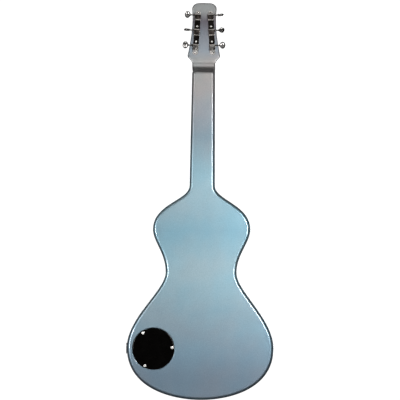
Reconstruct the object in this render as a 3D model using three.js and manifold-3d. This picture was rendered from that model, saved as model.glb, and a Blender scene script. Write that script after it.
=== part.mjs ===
// A six-string electric lap steel guitar with an hourglass body, a square neck and a 3 + 3 head.
// Millimetres. The back lies on y = 0, the strings face +y, the head points up along +z and
// the origin is on the centre line of the back, level with the bridge saddle.
import * as THREE from "three";
import { mergeVertices } from "three/addons/utils/BufferGeometryUtils.js";
import Module from "manifold-3d";

const wasm = await Module();
wasm.setup();

// Scale and body outline: half widths, and the height that each stretch of the side adds.
const SCALE_LENGTH = 635;
const BUTT_TO_BRIDGE = 137;
const BUTT_TO_BOUT = 120.1;
const BOUT_HALF = 168.8;
const BOUT_TO_WAIST = 173.4;
const WAIST_HALF = 81.8;
const WAIST_TO_UPPER = 99.1;
const UPPER_HALF = 112.2;
const UPPER_TO_HEEL = 100.3;
const HEEL_HALF = 29.5;
const NECK_HALF = 26.6;
const BODY_DEPTH = 44;
const BACK_EDGE = 8;
const FRONT_EDGE = 2;

// How far each curve of the outline leans on its tangents, as shares of its stretch in height
// or, at the butt, of the half width.
const BUTT_TANGENT_SHARE = 0.393;
const BOUT_BELOW_SHARE = 0.789;
const BOUT_ABOVE_SHARE = 0.394;
const WAIST_BELOW_SHARE = 0.248;
const WAIST_ABOVE_SHARE = 0.437;
const UPPER_BELOW_SHARE = 0.299;
const UPPER_ABOVE_SHARE = 0.574;
const HEEL_BELOW_SHARE = 0.333;

// Head: heights above the nut line, half widths, how far its face lies below the front and the
// cove that steps up to its back.
const HEAD_LENGTH = 142;
const HEAD_DROP = 3.5;
const HEAD_THICKNESS = 16;
const HEAD_EDGE = 3.4;
const CORNER_HALF = 38.2;
const CORNER_HEIGHT = 17.6;
const CORNER_CUT = 3;
const LOBE_HALF = 28.5;
const LOBE_HEIGHT = 128;
const CROWN_RISE = 0.9;
const COVE_TO_NUT = 18;
const NECK_END_EDGE = 3;
const SIDE_LEAN_SHARE = 0.21;
const SIDE_LOW_SHARE = 0.32;
const SIDE_WAIST_SHARE = 0.141;
const SIDE_HIGH_SHARE = 0.36;
const CROWN_HALF_SHARE = 0.5;

// Fit: the gap that seated pieces keep, and how far a cutter overruns.
const SEAT = 0.3;
const OVERRUN = 2;
const WELD = 0.001;
const LEAST_MITRE_SHARE = 0.5;

// Fretboard and nut.
const BOARD_THICKNESS = 6;
const BOARD_END = 151;
const FRET_COUNT = 24;
const FRET_KERF = 0.7;
const FRET_KERF_DEPTH = 0.5;
const NUT_THICKNESS = 5;
const NUT_OVER_STRING = 1;

// Strings: gauges from the highest to the lowest, height over the body's front and spread.
const STRING_GAUGES = [0.41, 0.46, 0.61, 0.81, 1.07, 1.42];
const STRING_OVER_BODY = 14;
const NUT_SPACING = 8.6;
const BRIDGE_SPACING = 10;
const STRING_SIDES = 5;
const WINDING_GAP = 0.5;
const WINDING_DROP = 1;
const BALL_RADIUS = 1.9;
const BALL_LENGTH = 3.4;
const TURNS_PLAIN = 2.5;
const TURNS_WOUND = 2;

// Bridge: a bent plate with a rear flange that holds the ball ends, and a fixed saddle bar.
const PLATE_HALF = 48;
const PLATE_FRONT = 14;
const PLATE_REAR = 30;
const PLATE_THICKNESS = 2.2;
const FLANGE_THICKNESS = 3;
const FLANGE_HEIGHT = 12.5;
const STRING_HOLE_HEIGHT = 8.2;
const STRING_HOLE_RADIUS = 1.2;
const SADDLE_HALF = 33;
const SADDLE_RADIUS = 3.5;
const BRIDGE_SCREW_HALF = 42;
const BRIDGE_SCREW_INSET = 7;

// Screws: head radius, head height, shank radius and length.
const PAN_HEAD_RADIUS = 2.4;
const PAN_HEAD_HEIGHT = 1.5;
const PAN_SHANK_RADIUS = 1.3;
const PAN_SHANK_LENGTH = 10;
const FLUSH_HEAD_RADIUS = 3.4;
const FLUSH_SHANK_RADIUS = 1.6;
const FLUSH_SHANK_LENGTH = 14;
const FLUSH_HEAD_HEIGHT = 1.6;
const PAN_SHOULDER_SHARES = [0.86, 0.7];
const SLOT_WIDTH = 0.8;
const SLOT_DEPTH = 0.7;

// Tuner strips: a stamped plate with three gear housings, its centre measured from the nut line.
const STRIP_LENGTH = 101.3;
const STRIP_HALF = 6.5;
const STRIP_THICKNESS = 1;
const STRIP_CENTRE_HEIGHT = 72.3;
const STRIP_OFFSET = 17;
const STRIP_SPLAY = (3.5 * Math.PI) / 180;
const TUNER_SPACING = 35;
const TOP_SHAFT_TO_END = 9.9;
const END_SCREW_INSET = 3.4;
const LOW_SCREW_INSET = 5.5;
const MID_SCREW_ABOVE_SHAFT = 9.8;
const HOUSING_WALL = 0.7;
const HOUSING_CORNER = 2.4;

// Worm and wheel: one thread on the key turns a fourteen-tooth wheel on the post.
const GEAR_TEETH = 14;
const GEAR_MODULE = 0.6;
const GEAR_WIDTH = 3.2;
const WORM_PITCH_RADIUS = 1.9;
const ADDENDUM = 0.5;
const DEDENDUM = 0.65;
const WORM_LENGTH = 5.2;
const PRESSURE_ANGLE = (20 * Math.PI) / 180;
const TOOTH_SHARE = 0.38;

// Key: shaft, thrust collar and oval button.
const SHAFT_RADIUS = 1.6;
const COLLAR_RADIUS = 2.5;
const COLLAR_LENGTH = 1.6;
const BUTTON_START = 17.7;
const BUTTON_LENGTH = 13;
const BUTTON_HALF = 8.2;
const BUTTON_THICKNESS = 7.4;
const FERRULE_RADIUS = 2.9;
const FERRULE_LENGTH = 2.6;
// The turn that each key rests at, highest string first.
const KEY_TURNS_DEGREES = [0, 90, 20, 90, 50, 15];

// Post and its bushing.
const POST_RADIUS = 3.1;
const POST_WAIST = 2.4;
const POST_HEIGHT = 13.5;
const POST_CAP = 2.4;
const PIVOT_RADIUS = 1.5;
const POST_HOLE_RADIUS = 0.9;
const BUSHING_WALL = 1.3;
const BUSHING_FLANGE = 6.4;
const BUSHING_FLANGE_HEIGHT = 1.3;
const BUSHING_DEPTH = 11;

// Control cavity, its round cover and the controls on the front of the lower bout.
const BOUT_TO_CONTROLS = 61.3;
const BUTT_TO_CONTROLS = 117;
const COVER_RADIUS = 48;
const COVER_THICKNESS = 1.8;
const CAVITY_RADIUS = 39;
const FRONT_WALL = 6;
const COVER_SCREW_RADIUS = 43.3;
const COVER_SCREW_DEGREES = [4, 124, 244];
const POT_SPREAD = 20;
const POT_RADIUS = 12;
const POT_DEPTH = 9;
const THREAD_RADIUS = 4.6;
const THREAD_HEIGHT = 3;
const CONTROL_SHAFT_RADIUS = 3;
const CONTROL_SHAFT_HEIGHT = 14;
const CONTROL_SHAFT_DEPTH = 5;
const CONTROL_NUT_RADIUS = 6.4;
const CONTROL_NUT_HEIGHT = 2;
const KNOB_RADIUS = 10.5;
const KNOB_TOP_RADIUS = 8.4;
const KNOB_HEIGHT = 16;
const KNOB_SKIRT = 3;
const KNOB_TOP = 2;
const KNOB_FLUTES = 14;
const KNOB_FLUTE_DEPTH = 0.7;
const SWITCH_OFFSET = 25;
const SWITCH_HALF = 6.5;
const SWITCH_DEPTH = 16;
const SWITCH_THREAD = 4.2;
const LEVER_BALL = 2.7;
const LEVER_NECK = 1.1;
const LEVER_TIP = 2.4;
const LEVER_LENGTH = 17;

// Output jack in a cup on the side of the lower bout.
const CUP_RADIUS = 12;
const CUP_WALL = 1;
const CUP_FLANGE = 14;
const CUP_FLANGE_THICKNESS = 1.2;
const CUP_DEPTH = 13;
const JACK_BELOW_FRONT = 21;
const JACK_RADIUS = 4.9;
const JACK_BORE = 3.5;
const JACK_NUT_RADIUS = 6.8;
const JACK_NUT_HEIGHT = 2.2;
const JACK_TAIL = 6;
const JACK_FRAME_RADIUS = 7;
const JACK_FRAME_LENGTH = 9;

// Pickups.
const PICKUP_HALF = 43;
const PICKUP_LENGTH = 34;
const PICKUP_CORNER = 6;
const PICKUP_TOP_EDGE = 1.5;
const PICKUP_OVER_BODY = 8;
const PICKUP_POCKET_DEPTH = 20;
const BRIDGE_PICKUP_Z = 42;
const NECK_PICKUP_Z = 126;
const POLE_RADIUS = 2.4;
const POLE_PROUD = 1.2;
const WIRE_BORE = 4;

// Facet counts.
const CURVE_STEPS = 10;
const EDGE_STEPS = 3;
const FRONT_EDGE_STEPS = 1;
const CORNER_STEPS = 3;
const BEND_STEPS = 2;
const BIG_ROUND = 32;
const ROUND = 18;
const SMALL_ROUND = 10;
const TINY_ROUND = 8;
const BUTTON_ROUND = 6;
const JACK_ROUND = 12;
const HEXAGON = 6;
const WORM_STEPS = 8;
const LOOP_STEPS = 12;

// Lengths that follow.
const NUT_Z = SCALE_LENGTH;
const BUTT_Z = -BUTT_TO_BRIDGE;
const WAIST_HEIGHT = BUTT_TO_BOUT + BOUT_TO_WAIST;
const UPPER_HEIGHT = WAIST_HEIGHT + WAIST_TO_UPPER;
const HEEL_HEIGHT = UPPER_HEIGHT + UPPER_TO_HEEL;
const HEAD_FRONT = BODY_DEPTH - HEAD_DROP;
const HEAD_BACK = HEAD_FRONT - HEAD_THICKNESS;
const STRING_HEIGHT = BODY_DEPTH + STRING_OVER_BODY;
const JACK_HEIGHT = BODY_DEPTH - JACK_BELOW_FRONT;
const BOARD_FRONT = BODY_DEPTH + SEAT + BOARD_THICKNESS;
const GEAR_PITCH_RADIUS = (GEAR_TEETH * GEAR_MODULE) / 2;
const WORM_LEAD = Math.PI * GEAR_MODULE;
const WORM_TIP = WORM_PITCH_RADIUS + ADDENDUM;
const WORM_ROOT = WORM_PITCH_RADIUS - DEDENDUM;
const GEAR_TIP = GEAR_PITCH_RADIUS + ADDENDUM;
const GEAR_ROOT = GEAR_PITCH_RADIUS - DEDENDUM;
const GEAR_CENTRES = GEAR_PITCH_RADIUS + WORM_PITCH_RADIUS;
const STRIP_BACK = HEAD_BACK - SEAT;
const WORM_AXIS_Y = STRIP_BACK - STRIP_THICKNESS - WORM_TIP - SEAT;
const HOUSING_BACK = WORM_AXIS_Y - WORM_TIP - SEAT - HOUSING_WALL;
const CONTROL_X = BOUT_TO_CONTROLS - BOUT_HALF;
const CONTROL_Z = BUTT_Z + BUTT_TO_CONTROLS;
const RECESS_DEPTH = COVER_THICKNESS + 2 * SEAT;
const CAVITY_FLOOR = BODY_DEPTH - FRONT_WALL;

const X = new THREE.Vector3(1, 0, 0);
const Y = new THREE.Vector3(0, 1, 0);

const paint = new THREE.MeshStandardMaterial({ color: 0x8fb0bf, roughness: 0.3, metalness: 0.55 });
const chrome = new THREE.MeshStandardMaterial({ color: 0xd6d6d8, roughness: 0.12, metalness: 1 });
const steel = new THREE.MeshStandardMaterial({ color: 0xa9abad, roughness: 0.35, metalness: 1 });
const brass = new THREE.MeshStandardMaterial({ color: 0xb08d4a, roughness: 0.35, metalness: 1 });
const blackPlastic = new THREE.MeshStandardMaterial({ color: 0x0b0b0c, roughness: 0.35, metalness: 0 });
const rosewood = new THREE.MeshStandardMaterial({ color: 0x3a2118, roughness: 0.55, metalness: 0 });
const bone = new THREE.MeshStandardMaterial({ color: 0xe9e0c8, roughness: 0.4, metalness: 0 });
const stringSteel = new THREE.MeshStandardMaterial({ color: 0xbfc0c2, roughness: 0.25, metalness: 1 });

// A closed geometry as a solid that can be joined and cut, its faces turned out.
function solid(geometry) {
  const bare = geometry.clone();
  bare.deleteAttribute("normal");
  bare.deleteAttribute("uv");
  const merged = mergeVertices(bare, WELD);
  const vertProperties = new Float32Array(merged.attributes.position.array);
  const triVerts = new Uint32Array(merged.index.array);
  const made = new wasm.Manifold(new wasm.Mesh({ numProp: 3, vertProperties, triVerts }));
  if (made.volume() > 0) return made;
  for (let i = 0; i < triVerts.length; i += 3) {
    [triVerts[i + 1], triVerts[i + 2]] = [triVerts[i + 2], triVerts[i + 1]];
  }
  return new wasm.Manifold(new wasm.Mesh({ numProp: 3, vertProperties, triVerts }));
}

// The named mesh of a solid.
function piece(name, shape, material) {
  const cut = shape.getMesh();
  const geometry = new THREE.BufferGeometry();
  geometry.setAttribute("position", new THREE.BufferAttribute(new Float32Array(cut.vertProperties), 3));
  geometry.setIndex(new THREE.BufferAttribute(new Uint32Array(cut.triVerts), 1));
  geometry.computeVertexNormals();
  const mesh = new THREE.Mesh(geometry, material);
  mesh.name = name;
  return mesh;
}

function union(shapes) {
  return shapes.reduce((whole, next) => whole.add(next));
}

// A closed surface through rings of equally many points, with flat ends. flatten() gives the
// plane that the ends are filled in, so they may be of any outline.
function loft(rings, flatten) {
  const count = rings[0].length;
  const last = (rings.length - 1) * count;
  const faces = [];
  for (let ring = 0; ring < rings.length - 1; ring++) {
    for (let i = 0; i < count; i++) {
      const a = ring * count + i;
      const b = ring * count + ((i + 1) % count);
      faces.push([a, b, b + count], [a, b + count, a + count]);
    }
  }
  for (const [a, b, c] of fillEnd(rings[0].map(flatten))) faces.push([a, c, b]);
  for (const [a, b, c] of fillEnd(rings.at(-1).map(flatten))) faces.push([last + a, last + b, last + c]);
  return faced(rings.flat().flatMap((point) => point.toArray()), faces);
}

// The triangles of a flat ring, each turned the way the ring runs.
function fillEnd(ring) {
  const turn = Math.sign(THREE.ShapeUtils.area(ring));
  return THREE.ShapeUtils.triangulateShape(ring, []).map(([a, b, c]) => {
    const area = THREE.ShapeUtils.area([ring[a], ring[b], ring[c]]);
    return Math.sign(area) === turn ? [a, b, c] : [a, c, b];
  });
}

function faced(positions, faces) {
  const geometry = new THREE.BufferGeometry();
  geometry.setAttribute("position", new THREE.BufferAttribute(new Float32Array(positions), 3));
  geometry.setIndex(faces.flat());
  return solid(geometry);
}

const ontoFront = (point) => new THREE.Vector2(point.x, point.z);
const ontoSection = (point) => new THREE.Vector2(point.x, point.y);

function block(x0, x1, y0, y1, z0, z1) {
  const box = new THREE.BoxGeometry(x1 - x0, y1 - y0, z1 - z0);
  return solid(box.translate((x0 + x1) / 2, (y0 + y1) / 2, (z0 + z1) / 2));
}

// A solid of revolution about an axis through a point: the profile holds [radius, height] pairs.
function turned(profile, segments, at, axis) {
  const points = profile.map(([radius, height]) => new THREE.Vector2(radius, height));
  const lathe = new THREE.LatheGeometry(points, segments);
  lathe.applyQuaternion(new THREE.Quaternion().setFromUnitVectors(Y, axis));
  lathe.translate(at.x, at.y, at.z);
  return solid(lathe);
}

function rod(radius, from, to, segments) {
  const length = from.distanceTo(to);
  const axis = to.clone().sub(from).normalize();
  return turned([[0, 0], [radius, 0], [radius, length], [0, length]], segments, from, axis);
}

// An outline in x and z, given depth along y.
function plate(shape, y0, y1, curveSteps) {
  const options = { depth: y1 - y0, bevelEnabled: false, curveSegments: curveSteps };
  const geometry = new THREE.ExtrudeGeometry(shape, options);
  return solid(geometry.rotateX(Math.PI / 2).translate(0, y1, 0));
}

// An outline in z and y, given width along x.
function bar(shape, x0, x1, curveSteps) {
  const options = { depth: x1 - x0, bevelEnabled: false, curveSegments: curveSteps };
  const geometry = new THREE.ExtrudeGeometry(shape, options);
  return solid(geometry.rotateY(Math.PI / 2).scale(1, 1, -1).translate(x0, 0, 0));
}

const at = (x, y, z) => new THREE.Vector3(x, y, z);
const aboveButt = (height) => BUTT_Z + height;
const aboveNut = (height) => NUT_Z + height;

// Body outline, right half, from the butt to the heel.
function bodySide() {
  const side = new THREE.Path();
  side.moveTo(0, BUTT_Z);
  side.bezierCurveTo(
    BOUT_HALF * BUTT_TANGENT_SHARE, BUTT_Z,
    BOUT_HALF, aboveButt(BUTT_TO_BOUT * (1 - BOUT_BELOW_SHARE)),
    BOUT_HALF, aboveButt(BUTT_TO_BOUT),
  );
  side.bezierCurveTo(
    BOUT_HALF, aboveButt(BUTT_TO_BOUT + BOUT_TO_WAIST * BOUT_ABOVE_SHARE),
    WAIST_HALF, aboveButt(WAIST_HEIGHT - BOUT_TO_WAIST * WAIST_BELOW_SHARE),
    WAIST_HALF, aboveButt(WAIST_HEIGHT),
  );
  side.bezierCurveTo(
    WAIST_HALF, aboveButt(WAIST_HEIGHT + WAIST_TO_UPPER * WAIST_ABOVE_SHARE),
    UPPER_HALF, aboveButt(UPPER_HEIGHT - WAIST_TO_UPPER * UPPER_BELOW_SHARE),
    UPPER_HALF, aboveButt(UPPER_HEIGHT),
  );
  side.bezierCurveTo(
    UPPER_HALF, aboveButt(UPPER_HEIGHT + UPPER_TO_HEEL * UPPER_ABOVE_SHARE),
    HEEL_HALF, aboveButt(HEEL_HEIGHT - UPPER_TO_HEEL * HEEL_BELOW_SHARE),
    HEEL_HALF, aboveButt(HEEL_HEIGHT),
  );
  return side.getPoints(CURVE_STEPS);
}

// Head outline above the nut, right half, from the nut line to the crown.
function headSide() {
  const rise = CORNER_HALF - NECK_HALF;
  const sideStep = LOBE_HEIGHT - CORNER_HEIGHT;
  const lean = (sideStep * SIDE_LOW_SHARE * SIDE_LEAN_SHARE) / Math.hypot(1, SIDE_LEAN_SHARE);
  const crownHalf = LOBE_HALF * CROWN_HALF_SHARE;
  const crownStep = HEAD_LENGTH - LOBE_HEIGHT;
  const cut = CORNER_CUT;
  const side = new THREE.Path();
  side.moveTo(NECK_HALF, NUT_Z);
  side.quadraticCurveTo(
    NECK_HALF, aboveNut(CORNER_HEIGHT - rise),
    CORNER_HALF - cut, aboveNut(CORNER_HEIGHT - cut),
  );
  side.quadraticCurveTo(
    CORNER_HALF, aboveNut(CORNER_HEIGHT),
    CORNER_HALF - cut * SIDE_LEAN_SHARE, aboveNut(CORNER_HEIGHT + cut),
  );
  side.bezierCurveTo(
    CORNER_HALF - lean, aboveNut(CORNER_HEIGHT + sideStep * SIDE_LOW_SHARE),
    LOBE_HALF * (1 - SIDE_WAIST_SHARE), aboveNut(LOBE_HEIGHT - sideStep * SIDE_HIGH_SHARE),
    LOBE_HALF, aboveNut(LOBE_HEIGHT),
  );
  side.bezierCurveTo(
    LOBE_HALF, aboveNut(LOBE_HEIGHT + crownStep * CROWN_HALF_SHARE),
    crownHalf + (LOBE_HALF - crownHalf) * CROWN_HALF_SHARE, aboveNut(HEAD_LENGTH - CROWN_RISE),
    crownHalf, aboveNut(HEAD_LENGTH - CROWN_RISE / 2),
  );
  side.quadraticCurveTo(crownHalf / 2, aboveNut(HEAD_LENGTH), 0, aboveNut(HEAD_LENGTH));
  return side.getPoints(CURVE_STEPS / 2);
}

// A right half outline with its mirror image: one closed ring, as [x, z] points.
function mirrored(half) {
  const left = half.filter((point) => point.x > WELD).map((point) => new THREE.Vector2(-point.x, point.y));
  return [...half, ...left.reverse()];
}

// The outline moved inwards by a distance, each corner along its bisector.
function inset(outline, distance) {
  const turn = Math.sign(THREE.ShapeUtils.area(outline));
  return outline.map((point, i) => {
    const before = outline.at(i - 1);
    const after = outline[(i + 1) % outline.length];
    const into = point.clone().sub(before).normalize();
    const out = after.clone().sub(point).normalize();
    const along = into.add(out).normalize();
    const inward = new THREE.Vector2(-along.y, along.x).multiplyScalar(turn);
    const stretch = 1 / Math.max(Math.abs(along.dot(out)), LEAST_MITRE_SHARE);
    return point.clone().addScaledVector(inward, distance * stretch);
  });
}

// A slab of an outline between two depths, both of its edges rounded.
function roundedSlab(outline, back, front, backEdge, frontEdge) {
  const level = (distance, y) => inset(outline, distance).map((point) => at(point.x, y, point.y));
  const rings = [];
  for (const [sweep, y, edge] of edgeLevels(back, front, backEdge, frontEdge)) {
    rings.push(level(edge * (1 - sweep), y));
  }
  return loft(rings, ontoFront);
}

// The levels of a rounded edge at the back and at the front: how much of the outline's full
// size is reached, the depth, and the edge's radius.
function edgeLevels(back, front, backEdge, frontEdge) {
  const levels = [];
  for (let step = 0; step <= EDGE_STEPS; step++) {
    const angle = (step / EDGE_STEPS) * (Math.PI / 2);
    levels.push([Math.sin(angle), back + backEdge * (1 - Math.cos(angle)), backEdge]);
  }
  for (let step = FRONT_EDGE_STEPS; step >= 0; step--) {
    const angle = (step / FRONT_EDGE_STEPS) * (Math.PI / 2);
    levels.push([Math.sin(angle), front - frontEdge * (1 - Math.cos(angle)), frontEdge]);
  }
  return levels;
}

// Half width of the neck and head at a height, read off the neck's taper and the head's outline.
function neckHalf(z) {
  const taper = (HEEL_HALF - NECK_HALF) / (NUT_Z - aboveButt(HEEL_HEIGHT));
  if (z <= NUT_Z) return NECK_HALF + taper * (NUT_Z - z);
  const side = headSide();
  const above = side.findIndex((point) => point.y >= z);
  const [low, high] = [side[above - 1], side[above]];
  return THREE.MathUtils.mapLinear(z, low.y, high.y, low.x, high.x);
}

// The cove: the neck's end is eased, then the back sweeps up a quarter round from the square
// neck to the thinner head, and past the nut the front steps down to the head's face.
function cove() {
  const start = NUT_Z - COVE_TO_NUT;
  const radius = HEAD_BACK;
  const frontStep = NUT_Z + NUT_THICKNESS + SEAT;
  const steps = 2 * EDGE_STEPS;
  const stations = [[start - BACK_EDGE, 0]];
  for (let step = 0; step <= EDGE_STEPS; step++) {
    const angle = (step / EDGE_STEPS) * (Math.PI / 2);
    const [over, down] = [1 - Math.sin(angle), 1 - Math.cos(angle)];
    stations.push([start - NECK_END_EDGE * over, NECK_END_EDGE * down]);
  }
  for (let step = 1; step <= steps; step++) {
    const angle = (step / steps) * (Math.PI / 2);
    stations.push([start + radius * (1 - Math.cos(angle)), radius * Math.sin(angle)]);
  }
  const rings = stations.map(([z, back]) => {
    const front = z < frontStep ? BODY_DEPTH : HEAD_FRONT;
    const edge = THREE.MathUtils.mapLinear(back, 0, radius, BACK_EDGE, HEAD_EDGE);
    return section(neckHalf(z), back, front, edge, FRONT_EDGE, z);
  });
  return loft(rings, ontoSection);
}

// A cross section of the neck: a rectangle with rounded back and front edges.
function section(half, back, front, backEdge, frontEdge, z) {
  const right = edgeLevels(back, front, backEdge, frontEdge).map(([sweep, y, edge]) => {
    return at(half - edge * (1 - sweep), y, z);
  });
  const left = right.map((point) => at(-point.x, point.y, z));
  return [...right, ...left.reverse()];
}

function neckAndBody() {
  const start = NUT_Z - COVE_TO_NUT;
  const half = [...bodySide(), new THREE.Vector2(NECK_HALF, NUT_Z)];
  const slab = roundedSlab(mirrored(half), 0, BODY_DEPTH, BACK_EDGE, FRONT_EDGE);
  const cut = start - NECK_END_EDGE;
  const past = block(-UPPER_HALF, UPPER_HALF, -OVERRUN, BODY_DEPTH + OVERRUN, cut, NUT_Z + OVERRUN);
  const root = new THREE.Vector2(NECK_HALF, NUT_Z - COVE_TO_NUT / 2);
  const head = roundedSlab(mirrored([root, ...headSide()]), HEAD_BACK, HEAD_FRONT, HEAD_EDGE, FRONT_EDGE);
  return slab.subtract(past).add(cove()).add(head);
}

// Places of the strings: x at the bridge and at the nut, highest string on the left (-x).
const bridgeX = (string) => BRIDGE_SPACING * (string - (STRING_GAUGES.length - 1) / 2);
const nutX = (string) => NUT_SPACING * (string - (STRING_GAUGES.length - 1) / 2);

// Each strip carries three tuners. A tuner's place is its post's, on the strip's own group.
const sideOf = (string) => (string < STRING_GAUGES.length / 2 ? -1 : 1);
const rowOf = (string) => (string < STRING_GAUGES.length / 2 ? string : STRING_GAUGES.length - 1 - string);
const shaftHeight = (row) => STRIP_LENGTH / 2 - TOP_SHAFT_TO_END - TUNER_SPACING * (2 - row);
const postHeight = (row) => shaftHeight(row) - GEAR_CENTRES;
const stripScrewHeights = [
  STRIP_LENGTH / 2 - END_SCREW_INSET,
  shaftHeight(1) + MID_SCREW_ABOVE_SHAFT,
  shaftHeight(0) + MID_SCREW_ABOVE_SHAFT,
  -STRIP_LENGTH / 2 + LOW_SCREW_INSET,
];

// A strip's frame: x across, z along the strip towards the crown, y as on the whole guitar.
function stripFrame(side) {
  const frame = new THREE.Matrix4().makeRotationY(-side * STRIP_SPLAY);
  return frame.setPosition(side * STRIP_OFFSET, 0, aboveNut(STRIP_CENTRE_HEIGHT));
}

function onStrip(side, x, y, z) {
  return at(x, y, z).applyMatrix4(stripFrame(side));
}

// Places of the controls on the lower bout, in x and z.
const volumeAt = new THREE.Vector2(CONTROL_X, CONTROL_Z + POT_SPREAD);
const toneAt = new THREE.Vector2(CONTROL_X, CONTROL_Z - POT_SPREAD);
const selectorAt = new THREE.Vector2(CONTROL_X + SWITCH_OFFSET, CONTROL_Z);

const coverScrews = COVER_SCREW_DEGREES.map((degrees) => {
  const angle = THREE.MathUtils.degToRad(degrees);
  return new THREE.Vector2(
    CONTROL_X + COVER_SCREW_RADIUS * Math.cos(angle),
    CONTROL_Z + COVER_SCREW_RADIUS * Math.sin(angle),
  );
});

const bridgeScrews = [-1, 1].flatMap((side) => [
  new THREE.Vector2(side * BRIDGE_SCREW_HALF, PLATE_FRONT - BRIDGE_SCREW_INSET),
  new THREE.Vector2(side * BRIDGE_SCREW_HALF, -PLATE_REAR + 2 * BRIDGE_SCREW_INSET),
]);

// A round hole along y between two depths.
function hole(radius, x, z, y0, y1, segments) {
  return rod(radius, at(x, y0, z), at(x, y1, z), segments);
}

function roundedRectangle(half, halfLength, corner) {
  const shape = new THREE.Shape();
  shape.moveTo(half - corner, -halfLength);
  shape.absarc(half - corner, -halfLength + corner, corner, -Math.PI / 2, 0);
  shape.absarc(half - corner, halfLength - corner, corner, 0, Math.PI / 2);
  shape.absarc(-half + corner, halfLength - corner, corner, Math.PI / 2, Math.PI);
  shape.absarc(-half + corner, -halfLength + corner, corner, Math.PI, 1.5 * Math.PI);
  return shape;
}

function pickupPocket(z) {
  const half = PICKUP_HALF + 2 * SEAT;
  const shape = roundedRectangle(half, PICKUP_LENGTH / 2 + 2 * SEAT, PICKUP_CORNER);
  const floor = BODY_DEPTH - PICKUP_POCKET_DEPTH;
  return plate(shape, floor, BODY_DEPTH + OVERRUN, CORNER_STEPS).translate([0, 0, z]);
}

// The round cavity in the back: a shallow recess for the cover, the deep well inside it and
// the holes that the controls come through at the front.
function controlCuts() {
  const cuts = [
    hole(COVER_RADIUS + SEAT, CONTROL_X, CONTROL_Z, -OVERRUN, RECESS_DEPTH, BIG_ROUND),
    hole(CAVITY_RADIUS, CONTROL_X, CONTROL_Z, 0, CAVITY_FLOOR, BIG_ROUND),
  ];
  const through = BODY_DEPTH + OVERRUN;
  for (const place of [volumeAt, toneAt]) {
    cuts.push(hole(THREAD_RADIUS + SEAT, place.x, place.y, CAVITY_FLOOR - OVERRUN, through, SMALL_ROUND));
  }
  const { x, y: z } = selectorAt;
  cuts.push(hole(SWITCH_THREAD + SEAT, x, z, CAVITY_FLOOR - OVERRUN, through, SMALL_ROUND));
  for (const place of coverScrews) {
    const depth = RECESS_DEPTH + FLUSH_SHANK_LENGTH;
    cuts.push(hole(FLUSH_SHANK_RADIUS + SEAT, place.x, place.y, 0, depth, TINY_ROUND));
  }
  return cuts;
}

// Wire bores: from pocket to pocket, and from the bridge pocket down to the round cavity.
function wireCuts() {
  const y = BODY_DEPTH - PICKUP_POCKET_DEPTH + 2 * WIRE_BORE;
  const x = -PICKUP_HALF / 2;
  const bridgePocket = at(x, y, BRIDGE_PICKUP_Z);
  return [
    rod(WIRE_BORE, at(x, y, NECK_PICKUP_Z), bridgePocket, TINY_ROUND),
    rod(WIRE_BORE, bridgePocket, at(CONTROL_X, y, CONTROL_Z), TINY_ROUND),
  ];
}

function headCuts() {
  const cuts = [];
  for (const side of [-1, 1]) {
    for (let row = 0; row < STRING_GAUGES.length / 2; row++) {
      const post = onStrip(side, 0, 0, postHeight(row));
      const radius = POST_RADIUS + SEAT + BUSHING_WALL + SEAT;
      cuts.push(hole(radius, post.x, post.z, HEAD_BACK - OVERRUN, HEAD_FRONT + OVERRUN, SMALL_ROUND));
    }
    for (const height of stripScrewHeights) {
      const place = onStrip(side, 0, 0, height);
      const end = STRIP_BACK - STRIP_THICKNESS + PAN_SHANK_LENGTH + 2 * SEAT;
      cuts.push(hole(PAN_SHANK_RADIUS + SEAT, place.x, place.z, HEAD_BACK - OVERRUN, end, TINY_ROUND));
    }
  }
  return cuts;
}

function body() {
  const jack = rod(
    CUP_RADIUS + SEAT, at(-BOUT_HALF - OVERRUN, JACK_HEIGHT, CONTROL_Z),
    at(CONTROL_X, JACK_HEIGHT, CONTROL_Z), ROUND,
  );
  const bridgeHoles = bridgeScrews.map((place) => {
    const floor = BODY_DEPTH - FLUSH_SHANK_LENGTH;
    return hole(FLUSH_SHANK_RADIUS + SEAT, place.x, place.y, floor, BODY_DEPTH + OVERRUN, TINY_ROUND);
  });
  const cuts = [
    ...controlCuts(), ...wireCuts(), ...headCuts(), ...bridgeHoles, jack,
    pickupPocket(BRIDGE_PICKUP_Z), pickupPocket(NECK_PICKUP_Z),
  ];
  return neckAndBody().subtract(union(cuts));
}

// The fretboard follows the neck's taper. Its fret lines are flush, so each is a saw kerf.
const boardHalf = (z) => neckHalf(z) - FRONT_EDGE;

function fretboard() {
  const top = NUT_Z - SEAT;
  const shape = new THREE.Shape();
  shape.moveTo(-boardHalf(BOARD_END), BOARD_END);
  shape.lineTo(boardHalf(BOARD_END), BOARD_END);
  shape.lineTo(boardHalf(top), top);
  shape.lineTo(-boardHalf(top), top);
  const board = plate(shape, BODY_DEPTH + SEAT, BOARD_FRONT, 1);
  const kerfs = [];
  for (let fret = 1; fret <= FRET_COUNT; fret++) {
    const z = SCALE_LENGTH * 2 ** (-fret / 12);
    const half = boardHalf(z) + OVERRUN;
    kerfs.push(block(
      -half, half, BOARD_FRONT - FRET_KERF_DEPTH, BOARD_FRONT + OVERRUN,
      z - FRET_KERF / 2, z + FRET_KERF / 2,
    ));
  }
  return board.subtract(union(kerfs));
}

// The nut is a block with a slot for each string, cut to the gauge.
function nut() {
  const half = boardHalf(NUT_Z);
  const top = STRING_HEIGHT + NUT_OVER_STRING;
  const blank = block(-half, half, BODY_DEPTH + SEAT, top, NUT_Z, NUT_Z + NUT_THICKNESS);
  const past = NUT_Z + NUT_THICKNESS + OVERRUN;
  const slots = STRING_GAUGES.map((gauge, string) => {
    const x = nutX(string);
    const width = gauge / 2 + SEAT;
    return block(x - width, x + width, STRING_HEIGHT - SEAT, top + OVERRUN, NUT_Z - OVERRUN, past);
  });
  return blank.subtract(union(slots));
}

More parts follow.
